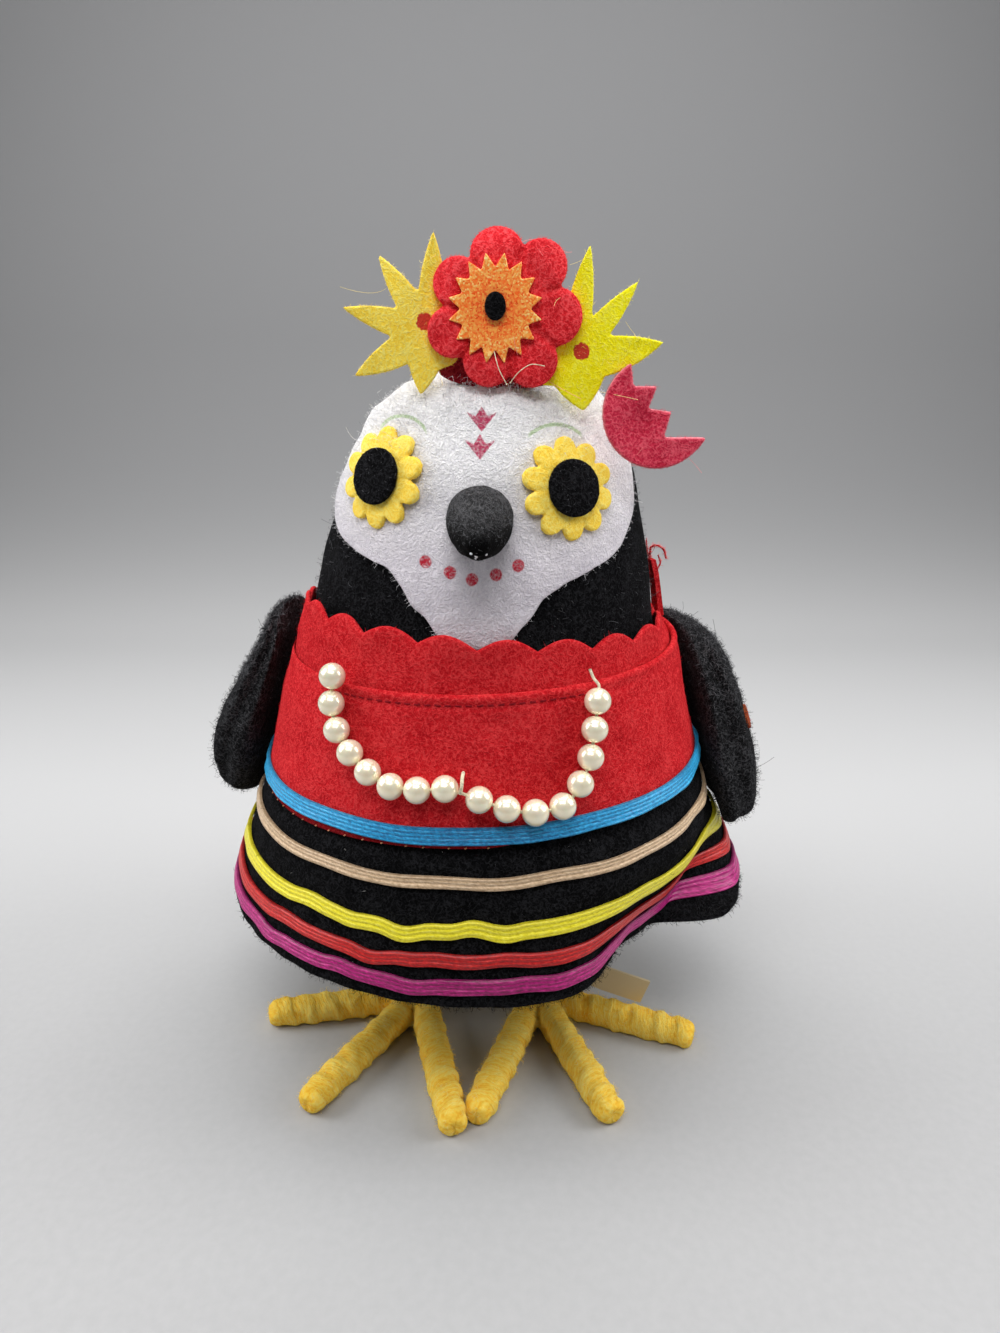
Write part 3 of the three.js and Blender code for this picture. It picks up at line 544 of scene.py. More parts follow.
def hem_only(places, normals):
    return 0.01 + (1 - ease(places[:, 2], HEM + 0.2, HEM + 1.5))


def fibres(places, normals, length, lift, width, rng, shape):
    """(points, triangles) of closed three-sided spikes; shape is (steps along them, widths there)."""
    count = len(places)
    size = length * rng.uniform(0.4, 1.3, count)
    sideways = unit(np.cross(normals, rng.normal(size=(count, 3))))
    curl = np.cross(normals, sideways) * rng.uniform(-0.9, 0.9, count)[:, None]
    rise = lift * rng.uniform(0.3, 1.6, count)
    steps = np.array(shape[0])
    along = steps[None, :, None] * (sideways * (1 - rise)[:, None])[:, None]
    bent = (steps ** 2)[None, :, None] * curl[:, None]
    up = np.sin(steps * 2.2)[None, :, None] * (normals * rise[:, None])[:, None]
    path = places[:, None] + size[:, None, None] * (along + bent + up) - 0.05 * normals[:, None]
    across = unit(np.cross(sideways + curl, normals))
    section = around(turns(NAP_SIDES)[None], across[:, None], normals[:, None])
    radius = width * np.array(shape[1])
    rings = path[:, :-1, None] + radius[None, :, None, None] * section[:, None]
    points = np.concatenate([rings.reshape(count, -1, 3), path[:, -1:]], axis=1)
    return points.reshape(-1, 3), fibre_faces(count, len(radius))


def fibre_faces(count, rings):
    """Triangles of fibres that have this many rings of points and a tip each."""
    tip = rings * NAP_SIDES
    one = [(2, 1, 0)]
    for i in range(NAP_SIDES):
        after = (i + 1) % NAP_SIDES
        for low in range(0, tip - NAP_SIDES, NAP_SIDES):
            high = low + NAP_SIDES
            one += [(i + low, after + low, after + high), (i + low, after + high, i + high)]
        one.append((i + tip - NAP_SIDES, after + tip - NAP_SIDES, tip))
    return (np.arange(count)[:, None, None] * (tip + 1) + np.array(one)[None]).reshape(-1, 3)


def add_nap(
    of, slot, tones, count, length, seed, lift=0.55, width=0.036, weight=everywhere, name="nap",
    shape=NAP_STRAIGHT,
):
    """Loose fibres on a piece of felt, as a piece of their own in a few shades of it."""
    rng = np.random.default_rng(seed)
    places, normals = scattered(*points_of(of), count, rng, weight)
    made_points, made_faces = fibres(places, normals, length, lift, width, rng, shape)
    made = piece(f"{of.name}_{name}", made_points, made_faces, slot, material=tones[0])
    for tone in tones[1:]:
        made.data.materials.append(MATERIALS[tone])
    per_fibre = len(made_faces) // count
    shades = np.repeat(rng.integers(0, len(tones), count), per_fibre)
    made.data.polygons.foreach_set("material_index", shades.astype(np.int32))


# Outlines of the cut felt

def polar(angle, r):
    return r * math.cos(math.radians(angle)), r * math.sin(math.radians(angle))


def circle_crossings(a, b):
    """The two places where circles (x, y, r) cross."""
    apart = math.hypot(b[0] - a[0], b[1] - a[1])
    along = (a[2] ** 2 - b[2] ** 2 + apart ** 2) / (2 * apart)
    aside = math.sqrt(max(a[2] ** 2 - along ** 2, 0))
    ux, uy = (b[0] - a[0]) / apart, (b[1] - a[1]) / apart
    return [(a[0] + ux * along - way * uy * aside, a[1] + uy * along + way * ux * aside) for way in (1, -1)]


def lobed_outline(lobes, points_per_lobe):
    """A flower of round lobes: (angle, distance of its centre, radius) each."""
    circles = [(*polar(angle, distance), r) for angle, distance, r in lobes]
    notches = [
        max(circle_crossings(circle, circles[(i + 1) % len(circles)]), key=lambda p: math.hypot(*p))
        for i, circle in enumerate(circles)
    ]
    outline = []
    for i, (x, y, r) in enumerate(circles):
        start = math.atan2(notches[i - 1][1] - y, notches[i - 1][0] - x)
        sweep = (math.atan2(notches[i][1] - y, notches[i][0] - x) - start) % (2 * math.pi)
        for k in range(points_per_lobe):
            turn = start + sweep * k / points_per_lobe
            outline.append((x + r * math.cos(turn), y + r * math.sin(turn)))
    return outline


def pointed_outline(petals, notch_radius, points_per_side):
    """A flower of pointed petals, each given by its angle and length."""
    ordered = sorted(petals)
    outline = []
    for i, (angle, length) in enumerate(ordered):
        following = ordered[(i + 1) % len(ordered)][0] + (360 if i + 1 == len(ordered) else 0)
        preceding = ordered[i - 1][0] - (360 if i == 0 else 0)
        before, after = (preceding + angle) / 2, (angle + following) / 2
        belly = (notch_radius + length) / 2
        tip = polar(angle, length)
        rising = [polar(before, notch_radius), polar(angle + (before - angle) * PETAL_BELLY, belly), tip]
        falling = [tip, polar(angle + (after - angle) * PETAL_BELLY, belly), polar(after, notch_radius)]
        for side in (rising, falling):
            for k in range(points_per_side):
                t = k / points_per_side
                weights = ((1 - t) ** 2, 2 * t * (1 - t), t * t)
                outline.append(tuple(sum(w * p[axis] for w, p in zip(weights, side)) for axis in (0, 1)))
    return outline


def star_outline():
    corners = []
    for i in range(SUN_POINTS * 2):
        x, y = polar(90 + SUN_TURNED + i * 180 / SUN_POINTS, SUN_INNER if i % 2 else SUN_OUTER)
        corners.append((SUN_NARROW * x, y))
    return corners


def oval_outline(half_width, half_height, count=48):
    rim = [polar(i * 360 / count, 1) for i in range(count)]
    return [(half_width * x, half_height * y) for x, y in rim]


def half_rosette_outline(steps=60):
    """Most of a disc, with teeth and notches across its top, turned clockwise by its roll."""
    first, last = PINK_EDGE[0], PINK_EDGE[-1]
    start = math.atan2(last[1], last[0])
    sweep = math.atan2(first[1], first[0]) + 2 * math.pi - start
    arc = [polar(math.degrees(start + sweep * i / steps), PINK_RADIUS) for i in range(steps + 1)]
    roll = complex(*polar(-PINK_ROLL, 1))
    turned = [complex(x, y) * roll for x, y in arc + PINK_EDGE[1:-1]]
    return [(p.real, p.imag) for p in turned]


# Materials

def operator(operation):
    """A method that adds a node for this operation on a value."""
    return lambda value, *others: value.surface.math(operation, value, *others)


class Value:
    """A value that varies over a surface; arithmetic on it adds the nodes that work it out."""

    def __init__(self, surface, socket):
        self.surface = surface
        self.socket = socket

    __add__, __sub__, __mul__ = operator("ADD"), operator("SUBTRACT"), operator("MULTIPLY")
    __truediv__, __gt__ = operator("DIVIDE"), operator("GREATER_THAN")
    __abs__, most = operator("ABSOLUTE"), operator("MAXIMUM")

    def within(self, edge, soft):
        """1 where this is under the edge, fading to 0 over soft."""
        return self.surface.eased(self, edge + soft / 2, edge - soft / 2)


class Surface:
    """A material being made: each call adds a node and gives the value that it feeds on."""

    def __init__(self, name, **plain):
        self.material = bpy.data.materials.new(name)
        self.material.use_nodes = True
        self.tree = self.material.node_tree
        self.shader = next(n for n in self.tree.nodes if n.type == "BSDF_PRINCIPLED")
        for key, value in plain.items():
            self.shader.inputs[key.replace("_", " ")].default_value = value

    def put(self, socket, value):
        if isinstance(value, Value):
            self.tree.links.new(value.socket, socket)
        else:
            socket.default_value = value

    def add(self, kind, inputs, output=0, **settings):
        made = self.tree.nodes.new(kind)
        for key, value in settings.items():
            setattr(made, key, value)
        for key, value in inputs.items():
            self.put(made.inputs[key], value)
        return Value(self, made.outputs[output])

    def math(self, operation, *values, clamp=False):
        return self.add("ShaderNodeMath", dict(enumerate(values)), operation=operation, use_clamp=clamp)

    def vector(self, operation, inputs):
        return self.add("ShaderNodeVectorMath", inputs, operation=operation)

    def place(self):
        """Where a point of the surface is, in millimetres."""
        where = self.add("ShaderNodeTexCoord", {}, "Object")
        return self.vector("SCALE", {0: where, "Scale": 1 / MM})

    def axes(self, at):
        """The x, y and z of a place."""
        made = self.tree.nodes.new("ShaderNodeSeparateXYZ")
        self.put(made.inputs[0], at)
        return [Value(self, socket) for socket in made.outputs]

    def flat(self, x, y):
        return self.add("ShaderNodeCombineXYZ", {"X": x, "Y": y})

    def value(self, name):
        """A number kept at the mesh's vertices."""
        return self.add("ShaderNodeAttribute", {}, "Fac", attribute_name=name)

    def eased(self, value, low, high, kind="SMOOTHSTEP"):
        """0 at low and 1 at high."""
        inputs = {"Value": value, "From Min": low, "From Max": high}
        return self.add("ShaderNodeMapRange", inputs, interpolation_type=kind)

    def noise(self, at, size, seed, detail=2.0, roughness=0.5, output=0):
        """Noise whose features are about this many millimetres across."""
        inputs = {"Vector": at, "W": seed, "Scale": 1 / size, "Detail": detail, "Roughness": roughness}
        return self.add("ShaderNodeTexNoise", inputs, output, noise_dimensions="4D")

    def warped(self, at, size, amount, seed):
        """The place, moved about by noise, so that a pattern laid on it curls."""
        colour = self.noise(at, size, seed, output=1)
        shift = self.vector("SUBTRACT", {0: colour, 1: (0.5, 0.5, 0.5)})
        return self.vector("ADD", {0: at, 1: self.vector("SCALE", {0: shift, "Scale": amount})})

    def strands(self, at, size, seed, sharpness):
        """Curly lines, where a smooth noise crosses its middle; sharper ones are thinner."""
        away = abs(self.noise(at, size, seed, detail=1.0) * 2.0 - 1.0)
        return self.math("POWER", self.math("SUBTRACT", 1.0, away, clamp=True), sharpness)

    def ramp(self, value, stops):
        """Colours by value; stops are (position, colour)."""
        made = self.tree.nodes.new("ShaderNodeValToRGB")
        self.put(made.inputs[0], value)
        elements = made.color_ramp.elements
        while len(elements) < len(stops):
            elements.new(0.5)
        for element, (position, colour) in zip(elements, stops):
            element.position = position
            element.color = (*colour, 1)
        return Value(self, made.outputs[0])

    def mix(self, factor, first, second, blend="MIX"):
        made = self.tree.nodes.new("ShaderNodeMix")
        made.data_type = "RGBA"
        made.blend_type = blend
        colours = [s for s in made.inputs if s.type == "RGBA"]
        for socket, value in zip([made.inputs[0], *colours], (factor, first, second)):
            self.put(socket, (*value, 1) if isinstance(value, tuple) else value)
        return Value(self, next(s for s in made.outputs if s.type == "RGBA"))

    def finish(self, colour, height=None, depth=0):
        """The material, with its colour and, where asked, a bump of this many millimetres."""
        self.put(self.shader.inputs["Base Color"], colour)
        if depth:
            inputs = {"Height": height, "Distance": depth * MM, "Strength": 1.0}
            self.put(self.shader.inputs["Normal"], self.add("ShaderNodeBump", inputs))
        return self.material


def sheen(weight, colour, roughness=0.5):
    return {"Sheen_Weight": weight, "Sheen_Roughness": roughness, "Sheen_Tint": (*colour, 1)}


# Coarse and fine strands of felt: size and amount of their curl, how far apart they lie, and how thin
FELT_STRANDS = ((2.4, 2.6, 1.0, 11.0), (1.0, 1.2, 0.5, 8.0))
# How much of each shows in the colour
COARSE_SHARE, FINE_SHARE, CLUMP_SHARE, BLOTCH_SHARE = 0.26, 0.2, 0.46, 0.36


def felt(name, dark, middle, light, seed, bump=0.2, shine=0.08, edge=None, paint=None):
    """Matted fibres: fine curly strands over clumps and blotches."""
    surface = Surface(name, Roughness=0.95, Specular_IOR_Level=0.04, **sheen(shine, light))
    at = surface.place()
    coarse, fine = (
        surface.strands(surface.warped(at, curl, amount, seed + 2 * i), apart, seed + 2 * i + 1, thin)
        for i, (curl, amount, apart, thin) in enumerate(FELT_STRANDS)
    )
    clumps = surface.noise(at, 0.5, seed + 4, detail=5, roughness=0.7)
    blotch = surface.noise(at, 6.0, seed + 5, detail=3, roughness=0.6)
    strand = coarse * COARSE_SHARE + fine * FINE_SHARE
    tone = clumps * CLUMP_SHARE + (blotch * BLOTCH_SHARE + strand) - 0.03
    colour = surface.ramp(tone, [(0.32, dark), (0.48, middle), (0.68, light)])
    # The colour at the edge: on the pink felt its paler cut edges, on the red felt painted shade at the
    # bodice's foot
    if edge:
        colour = surface.mix(surface.value("edge") * 0.6, colour, edge)
    if paint:
        colour = paint(surface, colour)
    return surface.finish(colour, clumps * 0.8 + strand * 2.0, bump)


def flat_distance(x, z, centre):
    """Distance from a centre, seen from the front."""
    dx, dz = x - centre[0], z - centre[1]
    return x.surface.math("SQRT", dx * dx + dz * dz)


MOUTH_DOTS = [(-9.7, 115.0), (-5.3, 113.4), (-1.4, 112.3), (2.8, 113.1), (6.7, 114.6)]
MOUTH_DOT_RADIUS = 1.08
TULIPS = [(0.3, 139.2), (0.0, 134.6)]
TULIP_HALF = (2.5, 2.1)
BROWS = [
    [(-18.2, 137.2), (-13.4, 139.4), (-9.6, 137.2)],
    [(8.6, 136.4), (13.1, 138.1), (18.1, 136.1)],
]
BROW_WIDTH = 0.6
MARK_RED, MARK_PINK, BROW_GREEN = (0.52, 0.018, 0.04), (0.52, 0.05, 0.12), (0.42, 0.60, 0.28)
# Painted shade and light on the face: the heights between which it runs from lilac painted shade at the chin
# to painted light at the forehead, and those two colours
FACE_SHADE_HEIGHTS, FACE_PAINTED_SHADE, FACE_PAINTED_LIGHT = (110.0, 138.0), (0.75, 0.705, 0.75), (1.02, 1.015, 1.01)


def circle_through(a, b, c):
    """(centre, radius) of the circle through three points."""
    system = 2 * np.array([np.subtract(b, a), np.subtract(c, a)], float)
    right = [np.dot(b, b) - np.dot(a, a), np.dot(c, c) - np.dot(a, a)]
    centre = np.linalg.solve(system, right)
    return centre, float(np.linalg.norm(centre - np.array(a)))


def tulip(x, z, centre):
    """1 inside a small printed tulip: three points above and one below."""
    u = abs(x - centre[0]) / TULIP_HALF[0]
    v = (z - centre[1]) / TULIP_HALF[1]
    top = (u * -1.8 + 1.0).most(u * 0.5)
    foot = u * 1.4 - 1.0
    return (v - top).most(foot - v).most(u - 1.0).within(0.0, 0.2)


def brow(x, z, points):
    """1 on a thin arc through three points."""
    centre, radius = circle_through(*points)
    left, right = points[0][0], points[2][0]
    line = abs(flat_distance(x, z, centre) - radius).within(BROW_WIDTH / 2, 0.25)
    ends = abs(x - (left + right) / 2).within((right - left) / 2, 0.8)
    return line * ((z > centre[1]) * ends)


def face_paint(surface, colour):
    """Painted shade and light on the white felt, darker and lilac towards the chin and brighter at the
    forehead, under the brows, forehead marks and mouth dots printed on it.
    """
    x, _, z = surface.axes(surface.warped(surface.place(), 0.5, 0.35, 40))
    x = x - AXIS[0]
    speckle = surface.noise(surface.place(), 0.45, 41, detail=3)
    faded = surface.ramp(speckle, [(0.35, (0.65, 0.65, 0.65)), (0.58, (1, 1, 1))])
    # Painted shade towards the chin and painted light at the forehead
    shade = surface.mix(surface.eased(z, *FACE_SHADE_HEIGHTS), FACE_PAINTED_SHADE, FACE_PAINTED_LIGHT)
    colour = surface.mix(1.0, colour, shade, "MULTIPLY")
    dots = [flat_distance(x, z, centre).within(MOUTH_DOT_RADIUS, 0.35) for centre in MOUTH_DOTS]
    marks = [(tulip(x, z, centre) * faded, MARK_PINK) for centre in TULIPS]
    marks += [(dot * faded, MARK_RED) for dot in dots]
    marks += [(brow(x, z, points) * 0.75, BROW_GREEN) for points in BROWS]
    for share, paint in marks:
        colour = surface.mix(share, colour, paint)
    return colour


FLOWER_DOT_RADIUS, FLOWER_DOT_RED = 1.45, (0.58, 0.05, 0.03)


def flower_dot(centre):
    """Paints the small red middle of a yellow flower."""
    def paint(surface, colour):
        x, _, z = surface.axes(surface.warped(surface.place(), 0.6, 0.9, 50))
        dot = flat_distance(x - AXIS[0], z, centre).within(FLOWER_DOT_RADIUS, 0.3)
        return surface.mix(dot, colour, FLOWER_DOT_RED)
    return paint


BEAK_SHADE = (BEAK_HEIGHT + 4.2, BEAK_HEIGHT - 2.5)


def beak_paint(surface, colour):
    """Darkens the beak towards its underside."""
    low = surface.eased(surface.axes(surface.place())[2], *BEAK_SHADE)
    return surface.mix(low * 0.96, colour, (0.001, 0.001, 0.001))


# Painted shade on a ribbon's front: none this far along it from the middle of the front, full this near
SATIN_SHADED_FRONT = (36.0, 4.0)


def satin(name, dark, middle, light, seed, half, ribs=1.4, painted_front_shade=0.0):
    """Ribbon with ribs and fine threads along it, darker at its edges, which is its selvage and painted
    shade, and, where asked, painted shade at the front.
    """
    gloss = sheen(0.35, light, 0.35)
    surface = Surface(name, Roughness=0.36, Specular_IOR_Level=0.4, Anisotropic=0.5, **gloss)
    across, along = surface.value("across"), surface.value("along")
    threads = surface.noise(surface.flat(along * 0.16, across), 0.2, seed, detail=3)
    flecks = surface.noise(surface.flat(across * 0.6 + along, across), 0.45, seed + 1, detail=2)
    rib = surface.math("SINE", across * (2 * math.pi * ribs)) * 0.5 + 0.5
    tone = rib * 0.08 + (threads * 0.58 + flecks * 0.36 - 0.01)
    # Painted shade at the front of the skirt
    if painted_front_shade:
        tone = surface.eased(abs(along), *SATIN_SHADED_FRONT) * -painted_front_shade + tone
    colour = surface.ramp(tone, [(0.34, dark), (0.5, middle), (0.68, light)])
    # Darker edges: the selvage, and painted shade where the ribbon meets the felt
    rim = surface.eased(abs(across), half * 0.82, half * 1.0, "LINEAR")
    colour = surface.mix(rim * 0.7, colour, tuple(0.35 * c for c in dark))
    return surface.finish(colour, rib + threads * 0.8, 0.1)


GLITTER_STOPS = [
    (0.05, (0.62, 0.03, 0.01)), (0.26, (1.0, 0.13, 0.015)), (0.50, (1.0, 0.24, 0.03)),
    (0.74, (1.0, 0.40, 0.06)), (1.0, (1.0, 0.80, 0.30)),
]


def glitter():
    """Orange glitter, redder in the middle and paler at the points."""
    surface = Surface("orange_glitter", Specular_IOR_Level=0.5, **sheen(0.4, (1.0, 0.30, 0.06), 0.4))
    at = surface.place()
    cells = surface.add("ShaderNodeTexVoronoi", {"Vector": at, "Scale": 3.4}, "Color")
    fleck = surface.add("ShaderNodeSeparateColor", {0: cells})
    x, _, z = surface.axes(at)
    away = flat_distance(x - AXIS[0], z, SUN_CENTRE)
    towards_tip = surface.math("DIVIDE", away, float(SUN_OUTER), clamp=True)
    surface.put(surface.shader.inputs["Roughness"], fleck * 0.45 + 0.25)
    return surface.finish(surface.ramp(towards_tip * 0.45 + fleck * 0.6, GLITTER_STOPS), fleck, 0.12)


def pearl():
    surface = Surface(
        "pearl", Roughness=0.24, Specular_IOR_Level=0.6, Coat_Weight=1.0, Coat_Roughness=0.04, Metallic=0.3,
        Subsurface_Weight=0.1, Subsurface_Scale=1.5 * MM,
    )
    tone = surface.noise(surface.place(), 1.4, 60, detail=3)
    colour = surface.ramp(tone, [(0.3, (0.98, 0.86, 0.62)), (0.7, (1.0, 0.94, 0.74))])
    return surface.finish(colour, surface.noise(surface.place(), 0.5, 61), 0.01)


# Threads of the wool: how many in a turn, how far apart they wander, and how strongly they show
YARN_THREADS = ((5, 2.6, 0.12), (11, 1.1, 0.10))
YARN_STOPS = [(0.30, (0.92, 0.45, 0.03)), (0.45, (1.0, 0.64, 0.07)), (0.72, (1.0, 0.82, 0.22))]


def yarn():
    """Soft wool wrapped on wire: fine threads that follow its turns, with painted shade in its furrows."""
    surface = Surface("yellow_yarn", Roughness=0.95, Specular_IOR_Level=0.05, **sheen(0.2, (1.0, 0.75, 0.2)))
    at = surface.place()
    clumps = surface.noise(surface.warped(at, 1.5, 1.2, 71), 0.9, 72, detail=5, roughness=0.68)
    tone = clumps * 0.5 + surface.noise(at, 6, 73, detail=2) * 0.3
    for number, size, share in YARN_THREADS:
        wander = surface.noise(at, size, 70 + number) * 18.0
        laid = surface.value("lay") * (2 * math.pi * number)
        tone = tone + surface.math("SINE", laid + wander) * (share / 2)
    # Painted shade: the colour is a little darker where the wool lies low, in its furrows
    colour = surface.ramp(surface.value("relief") * 0.05 + (tone + 0.10), YARN_STOPS)
    return surface.finish(colour, tone, 0.4)


def thread(name, colour):
    surface = Surface(name, Roughness=0.7, Specular_IOR_Level=0.1)
    tone = surface.noise(surface.place(), 0.35, 80, detail=2)
    stops = [(0.3, tuple(0.6 * c for c in colour)), (0.65, colour)]
    return surface.finish(surface.ramp(tone, stops), tone, 0.05)


def fibre(name, colour):
    """One shade of loose fibre."""
    plain = {"Base_Color": (*colour, 1), **sheen(0.2, colour)}
    return Surface(f"{name}_fibre", Roughness=0.8, Specular_IOR_Level=0.1, **plain).material


# Felts: dark, middle and light shade, seed, depth of the bump, sheen, colour at the edge, which on the red
# felt is painted shade at the bodice's foot, and what is painted on: print, painted shade and light on the
# white felt, and a darker underside on the beak
FELTS = {
    "black_felt": ((0.0012, 0.0012, 0.0015), (0.003, 0.003, 0.0034), (0.016, 0.016, 0.018), 1, 0.2, 0.05),
    "wing_felt": ((0.002, 0.002, 0.002), (0.008, 0.008, 0.009), (0.06, 0.06, 0.064), 5, 0.3, 0.2),
    "white_felt": (
        (0.74, 0.73, 0.77), (0.90, 0.89, 0.91), (1.0, 0.995, 1.0), 10, 0.28, 0.08, None, face_paint,
    ),
    "red_felt": (
        (0.38, 0.0055, 0.010), (0.57, 0.014, 0.020), (0.76, 0.048, 0.052), 20, 0.2, 0.08,
        (0.05, 0.001, 0.004),
    ),
    "flower_red_felt": ((0.46, 0.008, 0.013), (0.68, 0.021, 0.029), (0.92, 0.08, 0.09), 25, 0.14, 0.06),
    "dark_red_felt": ((0.10, 0.003, 0.008), (0.24, 0.008, 0.018), (0.42, 0.03, 0.04), 30),
    "eye_yellow_felt": ((0.90, 0.55, 0.04), (1.0, 0.70, 0.085), (1.0, 0.80, 0.18), 40, 0.1, 0.03),
    "warm_yellow_felt": (
        (0.92, 0.58, 0.035), (1.0, 0.74, 0.075), (1.0, 0.84, 0.18), 50, 0.14, 0.03, None,
        flower_dot((-9.4, 155.2)),
    ),
    "neon_yellow_felt": (
        (0.86, 0.76, 0.005), (0.99, 0.90, 0.012), (1.0, 0.96, 0.07), 60, 0.14, 0.03, None,
        flower_dot((17.6, 150.4)),
    ),
    "pink_felt": (
        (0.42, 0.013, 0.033), (0.63, 0.027, 0.067), (0.86, 0.11, 0.16), 70, 0.16, 0.08, (0.95, 0.45, 0.50),
    ),
    "rust_felt": ((0.14, 0.025, 0.008), (0.28, 0.05, 0.018), (0.45, 0.12, 0.05), 80),
    "charcoal_felt": (
        (0.009, 0.009, 0.009), (0.026, 0.026, 0.027), (0.08, 0.079, 0.083), 90, 0.12, 0.1, None, beak_paint,
    ),
}
# Satins: dark, middle and light shade, seed, half the width, ribs in a millimetre, and painted shade at the
# front
SATINS = {
    "blue_satin": ((0.008, 0.13, 0.32), (0.02, 0.34, 0.68), (0.08, 0.60, 0.94), 100, 1.6, 1.4, 0.09),
    "beige_satin": ((0.34, 0.21, 0.12), (0.62, 0.43, 0.26), (0.84, 0.66, 0.46), 110, 1.1),
    "yellow_satin": ((0.56, 0.46, 0.008), (0.86, 0.75, 0.02), (0.98, 0.92, 0.14), 120, 1.5, 1.1),
    "red_satin": ((0.27, 0.006, 0.008), (0.56, 0.015, 0.015), (0.88, 0.06, 0.04), 130, 1.3, 1.4, 0.05),
    "magenta_satin": ((0.19, 0.006, 0.068), (0.43, 0.013, 0.17), (0.78, 0.055, 0.34), 140, 1.4, 1.4, 0.06),
    "cream_ribbon": ((0.50, 0.38, 0.20), (0.68, 0.55, 0.33), (0.82, 0.70, 0.48), 150, 9, 2),
}
THREADS = {
    "cream_thread": (0.85, 0.76, 0.55),
    "dark_red_thread": (0.30, 0.008, 0.016),
    "gold_thread": (0.72, 0.30, 0.16),
}
SHADES = {
    "black": (0.006, 0.006, 0.007), "soot": (0.03, 0.03, 0.032), "ash": (0.14, 0.14, 0.15),
    "dust": (0.5, 0.49, 0.47), "white": (0.92, 0.91, 0.93), "snow": (0.8, 0.79, 0.82),
    "red": (0.84, 0.03, 0.04), "crimson": (0.6, 0.015, 0.03), "rose": (0.95, 0.3, 0.3),
    "gold": (0.95, 0.66, 0.08), "straw": (0.97, 0.8, 0.35), "lemon": (0.93, 0.87, 0.06),
    "pink": (0.66, 0.07, 0.14), "brown": (0.2, 0.05, 0.03),
}
MATERIALS = {
    **{name: felt(name, *look) for name, look in FELTS.items()},
    **{name: satin(name, *look) for name, look in SATINS.items()},
    **{name: thread(name, colour) for name, colour in THREADS.items()},
    **{name: fibre(name, colour) for name, colour in SHADES.items()},
    "orange_glitter": glitter(), "pearl": pearl(), "yellow_yarn": yarn(),
}


# Body

SEAM_DEPTH = 0.5
HOLLOW_DEPTH, HOLLOW_TURN, HOLLOW_SPREAD = 2.9, (313, 43), (58, 74)
FOREHEAD_PUFF, FOREHEAD_HEIGHTS, FOREHEAD_SPREAD = 1.2, (136, 142.5), (46, 60)
SAG_DEPTH, SAG_TURN = 1.7, (324, 30)
MASK_RIM_REACH, MASK_WAVER = 32, 0.5


def make_body():
    """The stuffed bag: a round of felt with a seam down its back and small dimples where it is stuffed."""
    columns, rows = 168, 84
    angles = round_the_body(columns)
    share = np.linspace(0, 1, rows + 2)[1:-1]
    z = UNDERSIDE + (CROWN - UNDERSIDE) * (1 - np.cos(share * math.pi)) / 2
    angle, height = np.meshgrid(angles, z, indexing="ij")
    points = body_point(angle, 0, height)
    seam = SEAM_DEPTH * bump_at(np.degrees(np.abs(angle)), 180, 3)
    turn, spread = head_angles(points)
    hollow = HOLLOW_DEPTH * bump_at(turn, *HOLLOW_TURN) * ease(spread, *HOLLOW_SPREAD)
    sunk = 0.2 + 0.2 * lumps(points, 14, 1) + seam * ease(body_radius(height), 5, 20) + hollow
    points = body_point(angle, -np.maximum(sunk, 0), height)
    tips = (0, 0, UNDERSIDE + 0.1), (HEAD_LEAN, 0, CROWN - 0.1)
    made = piece("body_bag", *tipped_grid(points, *tips), "black_felt", "body")
    tones = ("black", "soot", "soot", "ash")
    add_nap(made, "black_felt", tones, 3400, 1.2, 500, weight=head_only, shape=NAP_CURLED)


def make_mask():
    """The white face, a cut sheet that follows the head, with a rounded rim and a coarser back."""
    spokes, rings = 200, 40
    share = np.linspace(0, 1, rings + 1)[1:]
    half = (MASK_OUTER - MASK_INNER) / 2
    middle = (MASK_OUTER + MASK_INNER) / 2
    rim = np.radians(np.linspace(0, 180, 7)[1:-1])
    rows = [(s, MASK_OUTER, 0.0) for s in share]
    rows += [(1.0, middle + half * math.cos(a), half * math.sin(a)) for a in rim]
    rows += [(s, MASK_INNER, 0.0) for s in share[::-BACK_STEP]]
    share, above, beyond = np.array(rows).T[:, None]
    turn = np.arange(spokes)[:, None] * 360 / spokes + 0 * share
    wavy = MASK_WAVER * flat_lumps(np.cos(np.radians(turn)), np.sin(np.radians(turn)), 0.35, 3)
    spread = (mask_edge_at(turn) + wavy * share) * share + np.degrees(beyond / MASK_RIM_REACH)
    points = face_point(turn, spread, 0.0)
    outward = points - face_point(turn, spread, -1.0)
    soft = 0.13 * lumps(points, 10, 4) + 0.045 * lumps(points, 3.6, 5)
    puff = FOREHEAD_PUFF * (1 - ease(spread, *FOREHEAD_SPREAD))
    soft = soft + ease(points[..., 2], *FOREHEAD_HEIGHTS) * (0.3 * lumps(points, 4.2, 6) + puff)
    sag = SAG_DEPTH * bump_at(turn, *SAG_TURN) * ease(spread, *HOLLOW_SPREAD)
    points = points + outward * (above + np.where(above > middle, soft, 0) - sag)[..., None]
    tips = face_point(0, 0, MASK_OUTER), face_point(0, 0, MASK_INNER)
    made = piece("mask_cloth", *tipped_grid(points, *tips), "white_felt", "face_mask")
    tones = ("white", "snow")
    add_nap(made, "white_felt", tones, 6000, 1.2, 510, width=0.03, weight=mask_rim, shape=NAP_CURLED)
    add_nap(made, "white_felt", ("white",), 1800, 2.2, 512, 0.8, 0.045, mask_top, "fluff", NAP_CURLED)


# White dots on the underside near the beak's tip, painted glints of light: column and row of the beak's own
# grid, and radius
BEAK_PAINTED_GLINTS = [(52, 33, 0.2), (46, 38, 0.26), (61, 36, 0.24), (52, 37, 0.3)]
# How wide the beak is along its length, up to its blunt end
BEAK_BULGE = [(0, 1), (0.2, 0.98), (0.46, 0.87), (0.72, 0.66), (0.93, 0.36), (1, 0)]
BEAK_SUNK, BEAK_SLIM, BEAK_RAISED, BEAK_LUMPS = 2.2, 0.97, 0.5, 0.07


